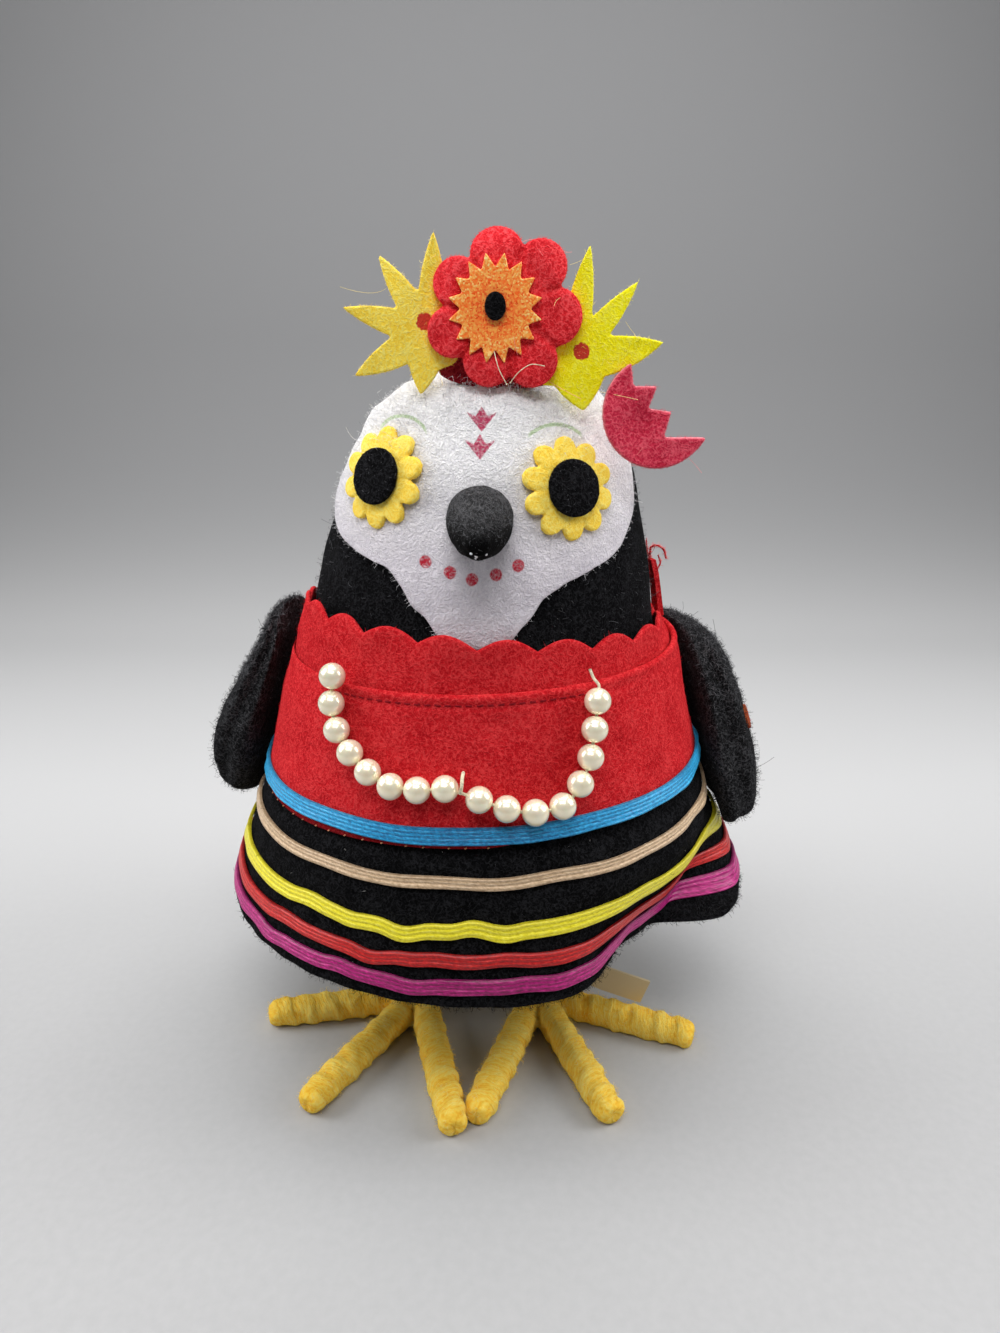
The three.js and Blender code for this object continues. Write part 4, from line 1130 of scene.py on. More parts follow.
def make_beak():
    """A blunt felt cone that droops a little."""
    columns, rows = 72, 40
    along = np.linspace(0, 1, rows + 1)[:-1] ** 0.8
    blunt_from, blunt_width = BEAK_BULGE[-2]
    blunt = np.clip((along - blunt_from) / (1 - blunt_from), 0, 1)
    width = np.where(along < blunt_from, through(BEAK_BULGE)(along), blunt_width * np.sqrt(1 - blunt ** 2))
    turn, s = np.meshgrid(turns(columns), along, indexing="ij")
    r = BEAK_SLIM * BEAK_RADIUS * width[None, :] * np.ones_like(turn)
    start = face_point(0, 0, MASK_OUTER)[1] + BEAK_SUNK
    points = np.stack([r * np.cos(turn), -(BEAK_SUNK + s * BEAK_LENGTH), r * np.sin(turn)], -1)
    out = np.stack([np.cos(turn), 0 * turn, np.sin(turn)], -1)
    points += BEAK_LUMPS * lumps(points, 3.0, 7)[..., None] * out
    droop = math.radians(BEAK_DROOP)
    y, z = points[..., 1].copy(), points[..., 2].copy()
    points[..., 1] = y * math.cos(droop) - z * math.sin(droop) + start
    points[..., 2] = y * math.sin(droop) + z * math.cos(droop) + BEAK_HEIGHT + BEAK_RAISED
    tip = points[:, -1].mean(0) + np.array([0, -0.25, 0])
    root = points[:, 0].mean(0)
    count = columns * rows
    vertices = np.concatenate([points.reshape(-1, 3), [tip], [root]])
    faces = [
        *grid_faces(columns, rows, True, False),
        *turned_faces(columns, rows, rows - 1, count),
        *turned_faces(columns, rows, 0, count + 1, flip=True),
    ]
    made = piece("beak_cone", vertices, faces, "charcoal_felt", "beak")
    add_nap(made, "charcoal_felt", ("soot", "ash", "ash"), 2200, 0.8, 520, lift=0.5, weight=up_facing)
    # Painted glints: small white balls where light glints on the beak's underside
    glints = [ball(points[column, row], size, 8, 5) for column, row, size in BEAK_PAINTED_GLINTS]
    piece("beak_specks", *joined(glints), "white_felt", material="snow")


# Cut felt

FELT_VOXEL, FELT_SMOOTHING = 0.3, 2


def cut_felt(name, node, outlines, thickness, bend, place, slot, material=None, voxel=FELT_VOXEL):
    """A flat cut-out of one or more outlines, bent by bend(x, y, depth share) and carried to its place."""
    shapes = joined([prism(outline, thickness) for outline in outlines])
    points, faces = remeshed(*shapes, voxel, FELT_SMOOTHING)
    share = np.clip(points[:, 2] / thickness, 0, 1)
    edge = 1 - np.clip(np.abs(share - 0.5) * 4 - 1, 0, 1)
    points[:, 2] += bend(points[:, 0], points[:, 1], share)
    return piece(name, place(points), faces, slot, node, material=material, values={"edge": edge})


def standing(centre, front, thickness):
    """Carries a cut-out to the crown, upright and facing the front."""
    def place(points):
        x, y, depth = points.T
        return np.stack([x + centre[0], front + thickness - depth, y + centre[1]], -1)
    return place


def on_frame(origin, right, up, normal, sunk=0):
    """Carries a cut-out to a place on a curved piece, sunk into it where asked."""
    def place(points):
        return origin + points[:, :1] * right + points[:, 1:2] * up + (points[:, 2:] - sunk) * normal
    return place


EYE_BEND_RADIUS, EYE_BOSS_RADIUS = 40, 6.2
EYE_GROOVE, EYE_WAVE, PUPIL_RIM = 0.15, 0.15, 0.2
EYE_PETAL_CENTRE, EYE_PETAL_HALF_LENGTH, EYE_PETAL_HALF_WIDTH = 6.6, 2.6, 2.0


def eye_petal_outline(turn, count=28):
    """One rounded petal of an eye flower, a little wider than its root."""
    c, s = polar(turn, 1)
    outline = []
    for i in range(count):
        a = math.radians(i * 360 / count)
        along = EYE_PETAL_CENTRE + EYE_PETAL_HALF_LENGTH * math.cos(a)
        across = EYE_PETAL_HALF_WIDTH * math.sin(a) * (1 + 0.12 * math.cos(a))
        outline.append((c * along - s * across, s * along + c * across))
    return outline


def eye_flower_bend(x, y, share):
    """Flat petals with grooves between them, on a flower that follows the head."""
    r, turn = np.hypot(x, y), np.arctan2(y, x)
    between = 0.5 - 0.5 * np.cos(EYE_PETALS * (turn - math.pi / 2))
    groove = between ** 10 * ease(r, EYE_DISC_RADIUS - 0.5, EYE_DISC_RADIUS + 1)
    lift = EYE_WAVE * flat_lumps(x, y, 6, 16) * ease(r, EYE_DISC_RADIUS, EYE_FLOWER_RADIUS)
    return lift - EYE_GROOVE * share * groove - r ** 2 / (2 * EYE_BEND_RADIUS)


def pupil_bend(x, y, share):
    """A disc that follows the head, its rim pressed down a little."""
    r = np.hypot(x, y)
    pressed = PUPIL_RIM * share * ease(r, EYE_DISC_RADIUS - 1.2, EYE_DISC_RADIUS)
    return -r ** 2 / (2 * EYE_BEND_RADIUS) - pressed


def make_eyes():
    petals = [eye_petal_outline(90 + i * 360 / EYE_PETALS) for i in range(EYE_PETALS)]
    outlines = [oval_outline(EYE_BOSS_RADIUS, EYE_BOSS_RADIUS), *petals]
    disc = oval_outline(EYE_DISC_RADIUS, EYE_DISC_RADIUS)
    for side, (turn, spread) in EYES.items():
        seed = int(400 + turn)
        place = on_frame(*face_frame(turn, spread, MASK_OUTER + GAP))
        flower = cut_felt(
            f"eye_petals_{side}", f"eye_flower_{side}", outlines, FELT, eye_flower_bend, place,
            "eye_yellow_felt", voxel=0.27,
        )
        add_nap(flower, "eye_yellow_felt", ("gold", "straw"), 600, 0.7, seed, weight=cut_edges)
        place = on_frame(*face_frame(turn, spread, MASK_OUTER + FELT + 2 * GAP))
        names = f"eye_pupil_{side}", f"eye_disc_{side}"
        pupil = cut_felt(*names, [disc], FELT, pupil_bend, place, "black_felt")
        add_nap(pupil, "black_felt", ("black", "soot", "ash"), 400, 0.7, seed + 1, weight=cut_edges)


PETAL_SHARPNESS, PETAL_WAVE = 14, 0.22


def petal_bend(angles, held, reach_out, amounts, seed):
    """Bends each petal forward or back by its own amount beyond `held` from the middle, with soft waves."""
    petals = np.radians(angles)

    def bend(x, y, share):
        r, turn = np.hypot(x, y), np.arctan2(y, x)
        away = np.cos(turn[..., None] - petals)
        near = np.exp(PETAL_SHARPNESS * (away - 1))
        amount = (near * amounts).sum(-1) / near.sum(-1)
        free = np.clip((r - held) / (reach_out - held), 0, 1.2)
        wave = PETAL_WAVE * flat_lumps(x, y, 7, seed) * free
        return amount * free ** 1.5 + wave
    return bend


RED_LOBE_BENDS, RED_HELD, RED_REACH = (-1.4, -3.0, -1.0, 0.4, 0.2, 0.3, 0.2), 6.5, 13.5
LOBE_CREASE, LOBE_CREASE_WIDTH, LOBE_PUFF = 0.8, 0.6, 0.6


def red_flower_bend(x, y, share):
    """Plump lobes with creases between them; the lowest ones fold forward."""
    angles = np.array([lobe[0] for lobe in RED_LOBES])
    base = petal_bend(angles, RED_HELD, RED_REACH, np.array(RED_LOBE_BENDS), 11)(x, y, share)
    creases = np.radians((angles + np.append(angles[1:], angles[0] + 360)) / 2)
    r, turn = np.hypot(x, y), np.arctan2(y, x)
    gap = np.abs(np.angle(np.exp(1j * (turn[..., None] - creases)))) * r[..., None]
    crease = np.exp(-(gap.min(-1) / LOBE_CREASE_WIDTH) ** 2) * ease(r, 6, 9)
    puff = ease(r, RED_HELD, 10) * (1 - ease(r, 10.5, 14))
    return base + share * (LOBE_PUFF * puff - LOBE_CREASE * crease)


def sun_bend(x, y, share):
    """A nearly flat star whose points lift a little, each by its own amount."""
    r = np.hypot(x, y)
    lifts = 0.3 * flat_lumps(x, y, 4, 12)
    return np.clip(r - SUN_INNER, 0, None) / (SUN_OUTER - SUN_INNER) * lifts


def flat_bend(x, y, share):
    return 0 * x


def oval_bend(x, y, share):
    """A small dome."""
    return 0.25 * share * (1 - (x / OVAL_HALF[0]) ** 2 / 2 - (y / OVAL_HALF[1]) ** 2 / 2)


def pink_bend(x, y, share):
    """The folded rosette's teeth stand off a little."""
    across = np.cos(math.radians(PINK_ROLL)) * y + np.sin(math.radians(PINK_ROLL)) * x
    return 0.5 * ease(across, -4, 4) + 0.25 * flat_lumps(x, y, 8, 15)


def make_yellow_flower(side, centre, petals, bends, slot, tones, seed):
    longest = max(length for _, length in petals)
    bend = petal_bend(np.array([angle for angle, _ in petals]), YELLOW_NOTCH, longest, np.array(bends), seed)
    outline = pointed_outline(petals, YELLOW_NOTCH, 8)
    place = standing(centre, YELLOW_FRONT, FELT)
    names = f"yellow_petals_{side}", f"yellow_flower_{side}"
    flower = cut_felt(*names, [outline], FELT, bend, place, slot)
    add_nap(flower, slot, tones, 1400, 0.8, seed + 1, weight=cut_edges)


def make_crown():
    """The flowers, the sunburst and the strip behind them, which stand upright on the head."""
    lobes = lobed_outline(RED_LOBES, 14)
    red = cut_felt(
        "red_petals", "red_flower", [lobes], FLOWER_FELT, red_flower_bend,
        standing(RED_CENTRE, RED_FRONT, FLOWER_FELT), "red_felt", "flower_red_felt",
    )
    add_nap(red, "red_felt", RED_TONES, 2400, 0.9, 420, weight=cut_edges, width=0.03)
    cut_felt(
        "sunburst_rays", "sunburst", [star_outline()], SUN_THICKNESS, sun_bend,
        standing(SUN_CENTRE, SUN_FRONT, SUN_THICKNESS), "orange_glitter", voxel=0.2,
    )
    oval = cut_felt(
        "flower_eye", "flower_centre", [oval_outline(*OVAL_HALF)], OVAL_THICKNESS, oval_bend,
        standing(OVAL_CENTRE, OVAL_FRONT, OVAL_THICKNESS), "black_felt", voxel=0.16,
    )
    add_nap(oval, "black_felt", ("black", "soot"), 260, 0.6, 424)
    for number, (side, flower) in enumerate(YELLOW_FLOWERS.items()):
        make_yellow_flower(side, **flower, seed=430 + 10 * number)
    pink = cut_felt(
        "pink_rosette", "pink_flower", [half_rosette_outline()], PINK_FELT, pink_bend,
        standing(PINK_CENTRE, RED_FRONT - 0.2, PINK_FELT), "pink_felt",
    )
    add_nap(pink, "pink_felt", ("pink", "pink", "crimson"), 1000, 0.8, 450, weight=cut_edges, width=0.03)
    cut_felt(
        "backing_strip", "flower_backing", [oval_outline(*BACKING_HALF)], FELT, flat_bend,
        standing(BACKING_CENTRE, BACKING_FRONT, FELT), "dark_red_felt", voxel=0.4,
    )


# Dress

def ring_piece(name, node, section, columns, place, slot, start=0, values=None):
    """A closed strip round the body: place(angle, offset, height) gives each of its points."""
    angle = round_the_body(columns, start)[:, None] + 0 * section[None, :, 0]
    points = place(angle, section[None, :, 0] + 0 * angle, section[None, :, 1] + 0 * angle)
    faces = grid_faces(columns, len(section))
    return piece(name, points.reshape(-1, 3), faces, slot, node, values=values)


COLLAR_BACK_DROP, COLLAR_BACK_FROM, COLLAR_LOOSE = 2.4, (66, 92), 0.35
COLLAR_HUG, COLLAR_HUG_TURN = 1.2, (88, 40)


def collar_point(angle, offset, share):
    """A point of the collar, where share runs from its foot to its scalloped top."""
    lobe = np.abs(np.sin((angle - math.radians(FIRST_NOTCH)) * SCALLOPS / 2))
    drop = COLLAR_TILT * np.sin(angle) + COLLAR_BACK_DROP * ease(np.abs(np.degrees(angle)), *COLLAR_BACK_FROM)
    top = COLLAR_PEAK - SCALLOP_DEPTH * (1 - lobe) - drop
    z = COLLAR_FOOT + (top - COLLAR_FOOT) * share
    r = body_radius(z) + offset
    loose = COLLAR_LOOSE * ease(share, 0.35, 1) * (1 + lumps(ring_point(angle, r, z), 12, 21))
    hugging = COLLAR_HUG * ease(share, 0.4, 0.9) * bump_at(np.abs(np.degrees(angle)), *COLLAR_HUG_TURN)
    r = r + np.maximum(loose, 0) * (1 - hugging / COLLAR_HUG) - hugging
    return ring_point(angle, r, z)


def make_collar():
    height = COLLAR_PEAK - COLLAR_FOOT
    section = strip_section(0, height, COLLAR_INNER, COLLAR_OUTER, 0.7)
    section[:, 1] /= height
    start = math.radians(FIRST_NOTCH)
    made = ring_piece("collar_band", "collar", section, SCALLOPS * 16, collar_point, "red_felt", start)
    add_nap(made, "red_felt", RED_TONES, 2600, 1.2, 530, width=0.03)


STITCH_ROW, STITCH_PITCH, STITCH_SHARE, STITCHES_HIDDEN = 91.2, 1.9, 0.3, (0.5, 1.9)
STITCH_RADIUS, FOOT_STITCH_RADIUS = 0.17, 0.16
FOOT_STITCHES, FOOT_STITCHES_SHOWN = 74, (-1.5, 0.1)
PRESSED_FLAT, PRESSED_BY = ((-128, -104), (-54, -38)), 0.9
ROLL_HEIGHT, ROW_DEPTH, ROW_FADE = 0.12, 0.4, (40, 55)
FOOT_TUCK, FOOT_DROP, FOOT_DROP_TURN = 1.3, 0.9, (-58, 60)


def pressed_at(angle):
    """1 at the left of the bodice, where its folded top edge is pressed flat against the collar."""
    turned = np.degrees(angle)
    return ease(turned, *PRESSED_FLAT[0]) * (1 - ease(turned, *PRESSED_FLAT[1]))


def foot_drop_at(angle):
    """How far the foot of the bodice hangs out under the blue ribbon, at the left."""
    return FOOT_DROP * bump_at(np.degrees(angle), *FOOT_DROP_TURN)


def bodice_point(angle, offset, height):
    """A point of the bodice, whose folded top edge is sewn down along a sunken row of stitches."""
    front = ease(offset, -FELT, -0.2)
    pressed = pressed_at(angle)
    turned = np.degrees(angle)
    row = bump_at(height, STITCH_ROW, 0.7) * (1 - pressed) * (1 - 0.7 * ease(turned, *ROW_FADE))
    roll = bump_at(height, STITCH_ROW + 1.1, 0.9) * (1 - pressed)
    thinned = PRESSED_BY * pressed * ease(height, BODICE_TOP - 9, BODICE_TOP)
    tucked = FOOT_TUCK * np.maximum(ease(turned, 0, 18), ease(-turned, 90, 110)) - foot_drop_at(angle)
    height = height + tucked * (1 - ease(height, BODICE_FOOT, BODICE_FOOT + 5))
    plain = dress_point(angle, offset, height)
    soft = 0.22 * lumps(plain, 16, 22) * ease(BODICE_TOP - height, 1, 6) * ease(height - BODICE_FOOT, 1, 5)
    relief = ROLL_HEIGHT * roll - ROW_DEPTH * row - thinned + np.minimum(soft, 0.1)
    return dress_point(angle, offset + front * relief, height)


def make_bodice():
    columns = 300
    section = strip_section(BODICE_FOOT - 0.3, BODICE_TOP, -FELT, 0, 0.7)
    # Painted shade: the foot of the bodice, under the blue ribbon, is darkened through the red felt's edge
    # colour
    low = 1 - ease(section[:, 1], BODICE_FOOT + 0.6, BODICE_FOOT + 2)
    values = {"edge": np.tile(low, columns)}
    made = ring_piece("bodice_band", "bodice", section, columns, bodice_point, "red_felt", values=values)
    add_nap(
        made, "red_felt", RED_TONES, 4000, 1.3, 540, lift=0.3, width=0.03,
        weight=lambda places, normals: ease(places[:, 2], BODICE_FOOT + 4, BODICE_FOOT + 6),
    )


SKIRT_TUCK = (62.2, 65.6)


def skirt_point(angle, offset, height):
    """A point of the skirt, which is tucked under the bodice at its top."""
    tucked = (FELT + GAP) * ease(height, *SKIRT_TUCK)
    plain = dress_point(angle, offset, height)
    soft = 0.2 * lumps(plain, 10, 23) * ease(SKIRT_TUCK[0] - height, 0, 4)
    return dress_point(angle, offset - tucked + np.minimum(soft, 0.12), height)


def make_skirt():
    section = strip_section(HEM, SKIRT_TOP, -FELT - 0.2, 0, 0.85)
    made = ring_piece("skirt_cloth", "skirt", section, 340, skirt_point, "black_felt")
    add_nap(
        made, "black_felt", BLACK_TONES, 9000, 1.3, 550, width=0.045,
        weight=lambda places, normals: 1 + 9 * (1 - ease(places[:, 2], HEM - 1, HEM + 2.5)),
    )
    add_nap(made, "black_felt", BLACK_TONES, 3600, 1.5, 552, 0.55, 0.045, hem_only, "hem", NAP_CURLED)


DUSTY = {"skirt_cloth": 130, "wing_left_pad": 60, "wing_right_pad": 60, "body_bag": 60}


def make_dust():
    """Short pale fibres that the black felt has picked up."""
    for name, count in DUSTY.items():
        cloth = bpy.data.objects[name]
        add_nap(cloth, "black_felt", ("dust", "ash"), count, 0.9, 620, width=0.04, name="dust")


RIBBON_BACK, RIBBON_RADIUS, RIBBON_WANDER, RIBBON_WAVE = 0.13, 48, 0.18, 0.16


def make_ribbon(colour, ribbon, seed):
    """A satin ribbon sewn round the skirt, with the kinks and the slight wander of hand sewing."""
    columns, rows = 340, 5
    low = -ribbon["width"] / 2
    section = strip_section(low, -low, RIBBON_BACK, GAP + RIBBON_THICKNESS, ribbon["width"] / rows)

    def place(angle, offset, across):
        circle = np.stack([np.cos(angle), np.sin(angle), 0 * angle], -1)
        turned = np.degrees(angle)
        rise = RIBBON_WANDER * lumps(circle, 0.5, seed) + sum(
            amount * bump_at(turned, centre, half) for centre, amount, half in RIBBON_KINKS.get(colour, [])
        )
        free = (across / low) ** 2 * ease(offset, GAP, 2 * GAP)
        wave = RIBBON_WAVE * (1 + lumps(circle, 0.22, seed + 1)) * free
        return dress_point(angle, offset + wave, ribbon["height"] + rise + across)

    slot = f"{colour}_satin"
    along = np.repeat(round_the_body(columns), len(section)) * RIBBON_RADIUS
    values = {"across": np.tile(section[:, 1], columns), "along": along}
    ring_piece(f"{slot}_ribbon", f"ribbon_{colour}", section, columns, place, slot, values=values)


def capsule(start, end, radius, sides=6):
    """(points, faces) of a short thread with rounded ends."""
    start, end = np.asarray(start, float), np.asarray(end, float)
    run = unit(end - start)
    side = unit(np.cross(run, [0, 0, 1] if abs(run[2]) < 0.9 else [1, 0, 0]))
    round_it = around(turns(sides), side, np.cross(side, run))
    rings = [(start, 0.6), (start + run * radius * 0.6, 1), (end - run * radius * 0.6, 1), (end, 0.6)]
    points = np.stack([centre + round_it * radius * share for centre, share in rings], axis=1)
    return points.reshape(-1, 3), capped_faces(sides, len(rings))


def make_stitches():
    """The row of stitches under the bodice's folded top, and the small ones along its foot."""
    radius = dress_at(STITCH_ROW)
    count = round(2 * math.pi * radius / STITCH_PITCH)
    half = STITCH_SHARE * 2 * math.pi / count
    rng = np.random.default_rng(5)
    parts = []
    for i in range(count):
        middle = -math.pi + (i + 0.5) * 2 * math.pi / count + rng.uniform(-0.1, 0.1) / radius
        drift = rng.uniform(-0.08, 0.08)
        if pressed_at(middle) < 0.3 and not STITCHES_HIDDEN[0] < middle < STITCHES_HIDDEN[1]:
            ends = [bodice_point(middle + way * half, 0.2, STITCH_ROW + drift * way) for way in (-1, 1)]
            parts.append(capsule(*ends, STITCH_RADIUS))
    piece("bodice_stitches", *joined(parts), "dark_red_felt", material="dark_red_thread")
    parts = []
    for i in range(FOOT_STITCHES):
        middle = -math.pi + (i + rng.uniform(0.35, 0.65)) * 2 * math.pi / FOOT_STITCHES
        if FOOT_STITCHES_SHOWN[0] < middle < FOOT_STITCHES_SHOWN[1]:
            low = BODICE_FOOT + 0.1 - foot_drop_at(middle)
            ends = [dress_point(middle + way * 0.004, 0.05, low + way * 0.12) for way in (-1, 1)]
            parts.append(capsule(*ends, FOOT_STITCH_RADIUS))
    piece("bodice_foot_stitches", *joined(parts), "rust_felt", material="gold_thread")


# Wings

def squared(value, power):
    return np.sign(value) * np.abs(value) ** power


def wing_point(wing, turn, rise):
    """Where a point of the unit ball goes on a wing: turn goes round its height, and rise is from -1 to 1."""
    side, top, foot = wing["side"], wing["top"], wing["foot"]
    start, end = wing["span"]
    z = foot + (top - foot) * (0.5 + 0.5 * squared(rise, wing["ends"]))
    low = (top - z) / (top - foot)
    full = np.sqrt(np.clip(1 - rise ** 2, 0, 1))
    taper = wing["shoulder"] + (1 - wing["shoulder"]) * ease(low, 0, WING_FULLEST)
    swell = wing["thickness"] * full ** BLUNT_SWELL * taper
    face = squared(np.cos(turn), BLUNT_FACE)
    out = WING_CLEARANCE + swell * (0.5 + 0.5 * face)
    blunt = np.where(rise < 0, wing["blunt"], BLUNT_WIDTH)
    across = full ** blunt * squared(np.sin(turn), BLUNT_EDGES)
    middle = (start + end) / 2 + wing["sweep"] * (low - 0.5)
    angle = np.radians(side * middle + 0.5 * (end - start) * across)
    return dress_point(angle, out, z - tilt_at(z) * np.sin(angle))


def make_wing(name, wing, seed):
    columns, rows = 120, 76
    rise = np.sin(np.linspace(-1, 1, rows + 2)[1:-1] * math.pi / 2)
    turn, rise = np.meshgrid(turns(columns), rise, indexing="ij")
    points = wing_point(wing, turn, rise)
    sideways = unit(points - points.mean(axis=0, keepdims=True))
    from_face = (np.degrees(turn) * -wing["side"] + 180) % 360 - 180
    crease = bump_at(from_face, CREASE_TOP + CREASE_TURN * (1 - rise) / 2, CREASE_HALF)
    crease = crease * np.sqrt(1 - rise ** 2)
    points = points - WING_CREASE * crease[..., None] * sideways
    outward = unit(points - points.mean((0, 1)))
    sunk = 0.3 + 0.22 * lumps(points, 8, seed) + 0.1 * lumps(points, 2.6, seed + 5)
    points = points - outward * sunk[..., None]
    grid = tipped_grid(points, points[:, 0].mean(0), points[:, -1].mean(0))
    made = piece(f"{name}_pad", *grid, "black_felt", name, material="wing_felt")
    add_nap(made, "black_felt", DARK_TONES, 5000, 1.4, seed + 10, width=0.04, shape=NAP_CURLED)

    def shoulder(places, normals):
        """Pale fibres on the upper part of the wing, where it faces up: grey fibres, set there as painted
        light on its top.
        """
        high = ease(places[:, 2], wing["top"] - 20, wing["top"] - 5)
        return 0.02 + high * ease(normals[:, 2], -0.2, 0.5)

    # Pale fibres on the wing's upward-facing top: real grey fibres, and painted light where the top catches
    # the light
    add_nap(made, "black_felt", ASH_TONES, 1400, 1.7, seed + 20, 0.35, 0.045, shoulder, "streaks", NAP_CURLED)


PATCH_TURN, PATCH_RISE, PATCH_RADIUS, PATCH_FELT, PATCH_SUNK = -28, 0.02, 2.7, 0.8, 0.35


def patch_bend(x, y, share):
    """Follows the wing, which curves more from side to side than up and down."""
    return -(x ** 2) / 16 - y ** 2 / 40


def make_patch(wing):
    """The small trim glued on the wing's outer face."""
    turn, nudge = math.radians(PATCH_TURN), 0.05
    centre = wing_point(wing, np.array(turn), np.array(PATCH_RISE))
    aside = wing_point(wing, np.array(turn + nudge), np.array(PATCH_RISE)) - centre
    up = wing_point(wing, np.array(turn), np.array(PATCH_RISE + nudge)) - centre
    normal = np.cross(aside, up)
    normal *= np.sign(normal[0]) / np.linalg.norm(normal)
    up = unit(up - normal * (up @ normal))
    place = on_frame(centre, np.cross(up, normal), up, normal, PATCH_SUNK)
    disc = oval_outline(PATCH_RADIUS, PATCH_RADIUS)
    made = cut_felt(
        "patch_felt", "wing_patch_right", [disc], PATCH_FELT, patch_bend, place, "rust_felt", voxel=0.25
    )
    add_nap(made, "rust_felt", ("brown", "crimson"), 200, 0.7, 460)


def give_material(node, material):
    """A solid whose shape is right keeps it, in a finer material."""
    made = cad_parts[node]
    made.data.materials.clear()
    made.data.materials.append(MATERIALS[material])


# Feet

WRAP_PITCH, WRAP_RELIEF = 5.2, 0.46
ROD_SIDES, ROD_STEP, FOOT_VOXEL = 40, 0.35, 0.48
# The rounded end of a toe: share of its radius, and how far past its end
TOE_CAP = [(0.96, 0.5), (0.86, 1.1), (0.7, 1.6), (0.5, 1.8), (0.32, 1.7), (0.14, 1.5)]


def wrapped_rod(start, end, radii, phase, cap):
    """(points, faces) of a wire wrapped in a strip of wool, whose edge climbs round it as a helix."""
    start, end = np.asarray(start, float), np.asarray(end, float)
    length = np.linalg.norm(end - start)
    run = (end - start) / length
    side = unit(np.cross([0, 0, 1] if abs(run[2]) < 0.9 else [0, 1, 0], run))
    up = np.cross(run, side)
    turn = turns(ROD_SIDES)
    t, s = np.meshgrid(turn, np.linspace(0, length, int(length / ROD_STEP)), indexing="ij")
    wobble = 0.1 * np.sin(2.1 * s / WRAP_PITCH + 9 * phase) + 0.05 * np.sin(5.3 * s / WRAP_PITCH + phase)
    wrap = (s / WRAP_PITCH - t / (2 * math.pi) + phase + wobble) % 1.0
    ridge = WRAP_RELIEF * (0.55 - wrap + ease(wrap, 0.9, 1.0))
    r = np.interp(s, [0, 0.75 * length, length], [radii[0], radii[0], radii[1]])
    r = r + ridge + 0.2 * lumps(np.stack([np.cos(t) * 2, np.sin(t) * 2, s], -1), 3.2, int(phase * 97) + 3)
    rows = [start + s[..., None] * run + r[..., None] * around(t, side, up)]
    for share, beyond in TOE_CAP if cap else []:
        swirl = 0.25 * ((turn / (2 * math.pi) + share) % 1.0)
        ring = end + (beyond + swirl)[:, None] * run + r[:, -1:] * share * around(turn, side, up)
        rows.append(ring[:, None])
    points = np.concatenate(rows, axis=1)
    return tipped_grid(points, start, points[:, -1].mean(0) - run * 0.05)


def ball(centre, radius, columns=24, rows=14):
    rise = np.linspace(-math.pi / 2, math.pi / 2, rows + 2)[1:-1]
    t, a = np.meshgrid(turns(columns), rise, indexing="ij")
    points = np.stack([np.cos(a) * np.cos(t), np.cos(a) * np.sin(t), np.sin(a)], -1) * radius + centre
    return tipped_grid(points, np.add(centre, (0, 0, -radius)), np.add(centre, (0, 0, radius)))


def wool_lay(points, foot):
    """(relief, lay): how high the wool stands, from -1 to 1, and how many turns lie before each point."""
    start = np.array([*foot["hub"], TOE_LIFT])
    nearest, lay = np.full(len(points), 1e9), np.zeros(len(points))
    for x, y in foot["toes"]:
        run = np.array([x, y, TOE_LIFT]) - start
        length = np.linalg.norm(run)
        run /= length
        along = np.clip((points - start) @ run, 0, length)
        out = points - start - along[:, None] * run
        thick = np.interp(along / length, [0, 0.75, 1], [TOE_RADIUS, TOE_RADIUS, TOE_TIP_RADIUS])
        away = np.linalg.norm(out, axis=1) - thick
        turn = np.arctan2(out @ np.cross(run, [0, 0, 1]), out[:, 2])
        closer = away < nearest
        lay = np.where(closer, along / WRAP_PITCH - turn / (2 * math.pi), lay)
        nearest = np.where(closer, away, nearest)
    return np.clip(nearest / (0.5 * WRAP_RELIEF), -1, 1), lay


def make_foot(name, foot):
    hub = (*foot["hub"], HUB_RADIUS - 0.15)
    top = (*foot["hub"], UNDERSIDE - GAP)
    leg = wrapped_rod(hub, top, (LEG_RADIUS, LEG_RADIUS), 0.3, False)
    parts = [ball(hub, HUB_RADIUS - 0.1), leg]
    start, radii = (*foot["hub"], TOE_LIFT), (TOE_RADIUS, TOE_TIP_RADIUS)
    for i, (x, y) in enumerate(foot["toes"]):
        parts.append(wrapped_rod(start, (x, y, TOE_LIFT), radii, 0.17 + 0.23 * i, True))
    points, faces = remeshed(*joined(parts), FOOT_VOXEL, 1)
    points[:, 2] = np.maximum(points[:, 2], 0.02)
    relief, lay = wool_lay(points, foot)
    values = {"relief": relief, "lay": lay}
    made = piece(f"{name}_wrapped", points, faces, "yellow_yarn", name, values=values)
    tones = ("gold", "gold", "straw")
    add_nap(
        made, "yellow_yarn", tones, 3700, 1.3, 560 + len(name), lift=0.45, shape=NAP_CURLED,
        weight=lambda places, normals: ease(places[:, 2], 1.0, 2.2),
    )


# Necklace

def make_pearls():
    made = []
    for i in range(1, PEARLS + 1):
        low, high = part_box(f"pearl_{i:02d}")
        centre = np.array((low + high) / 2) / MM - AXIS
        made.append(piece(f"bead_{i:02d}", *ball(centre, PEARL_RADIUS, 30, 18), "pearl", f"pearl_{i:02d}"))
    return made


def tube(path, radius, sides=8):
    """(points, faces) of a thin thread along a path."""
    path = np.asarray(path, float)
    runs = unit(np.gradient(path, axis=0))
    side = unit(np.cross(runs, [0.31, 0.9, 0.3]))
    up = np.cross(side, runs)
    points = path[None] + radius * around(turns(sides)[:, None], side[None], up[None])
    return points.reshape(-1, 3), capped_faces(sides, len(path))


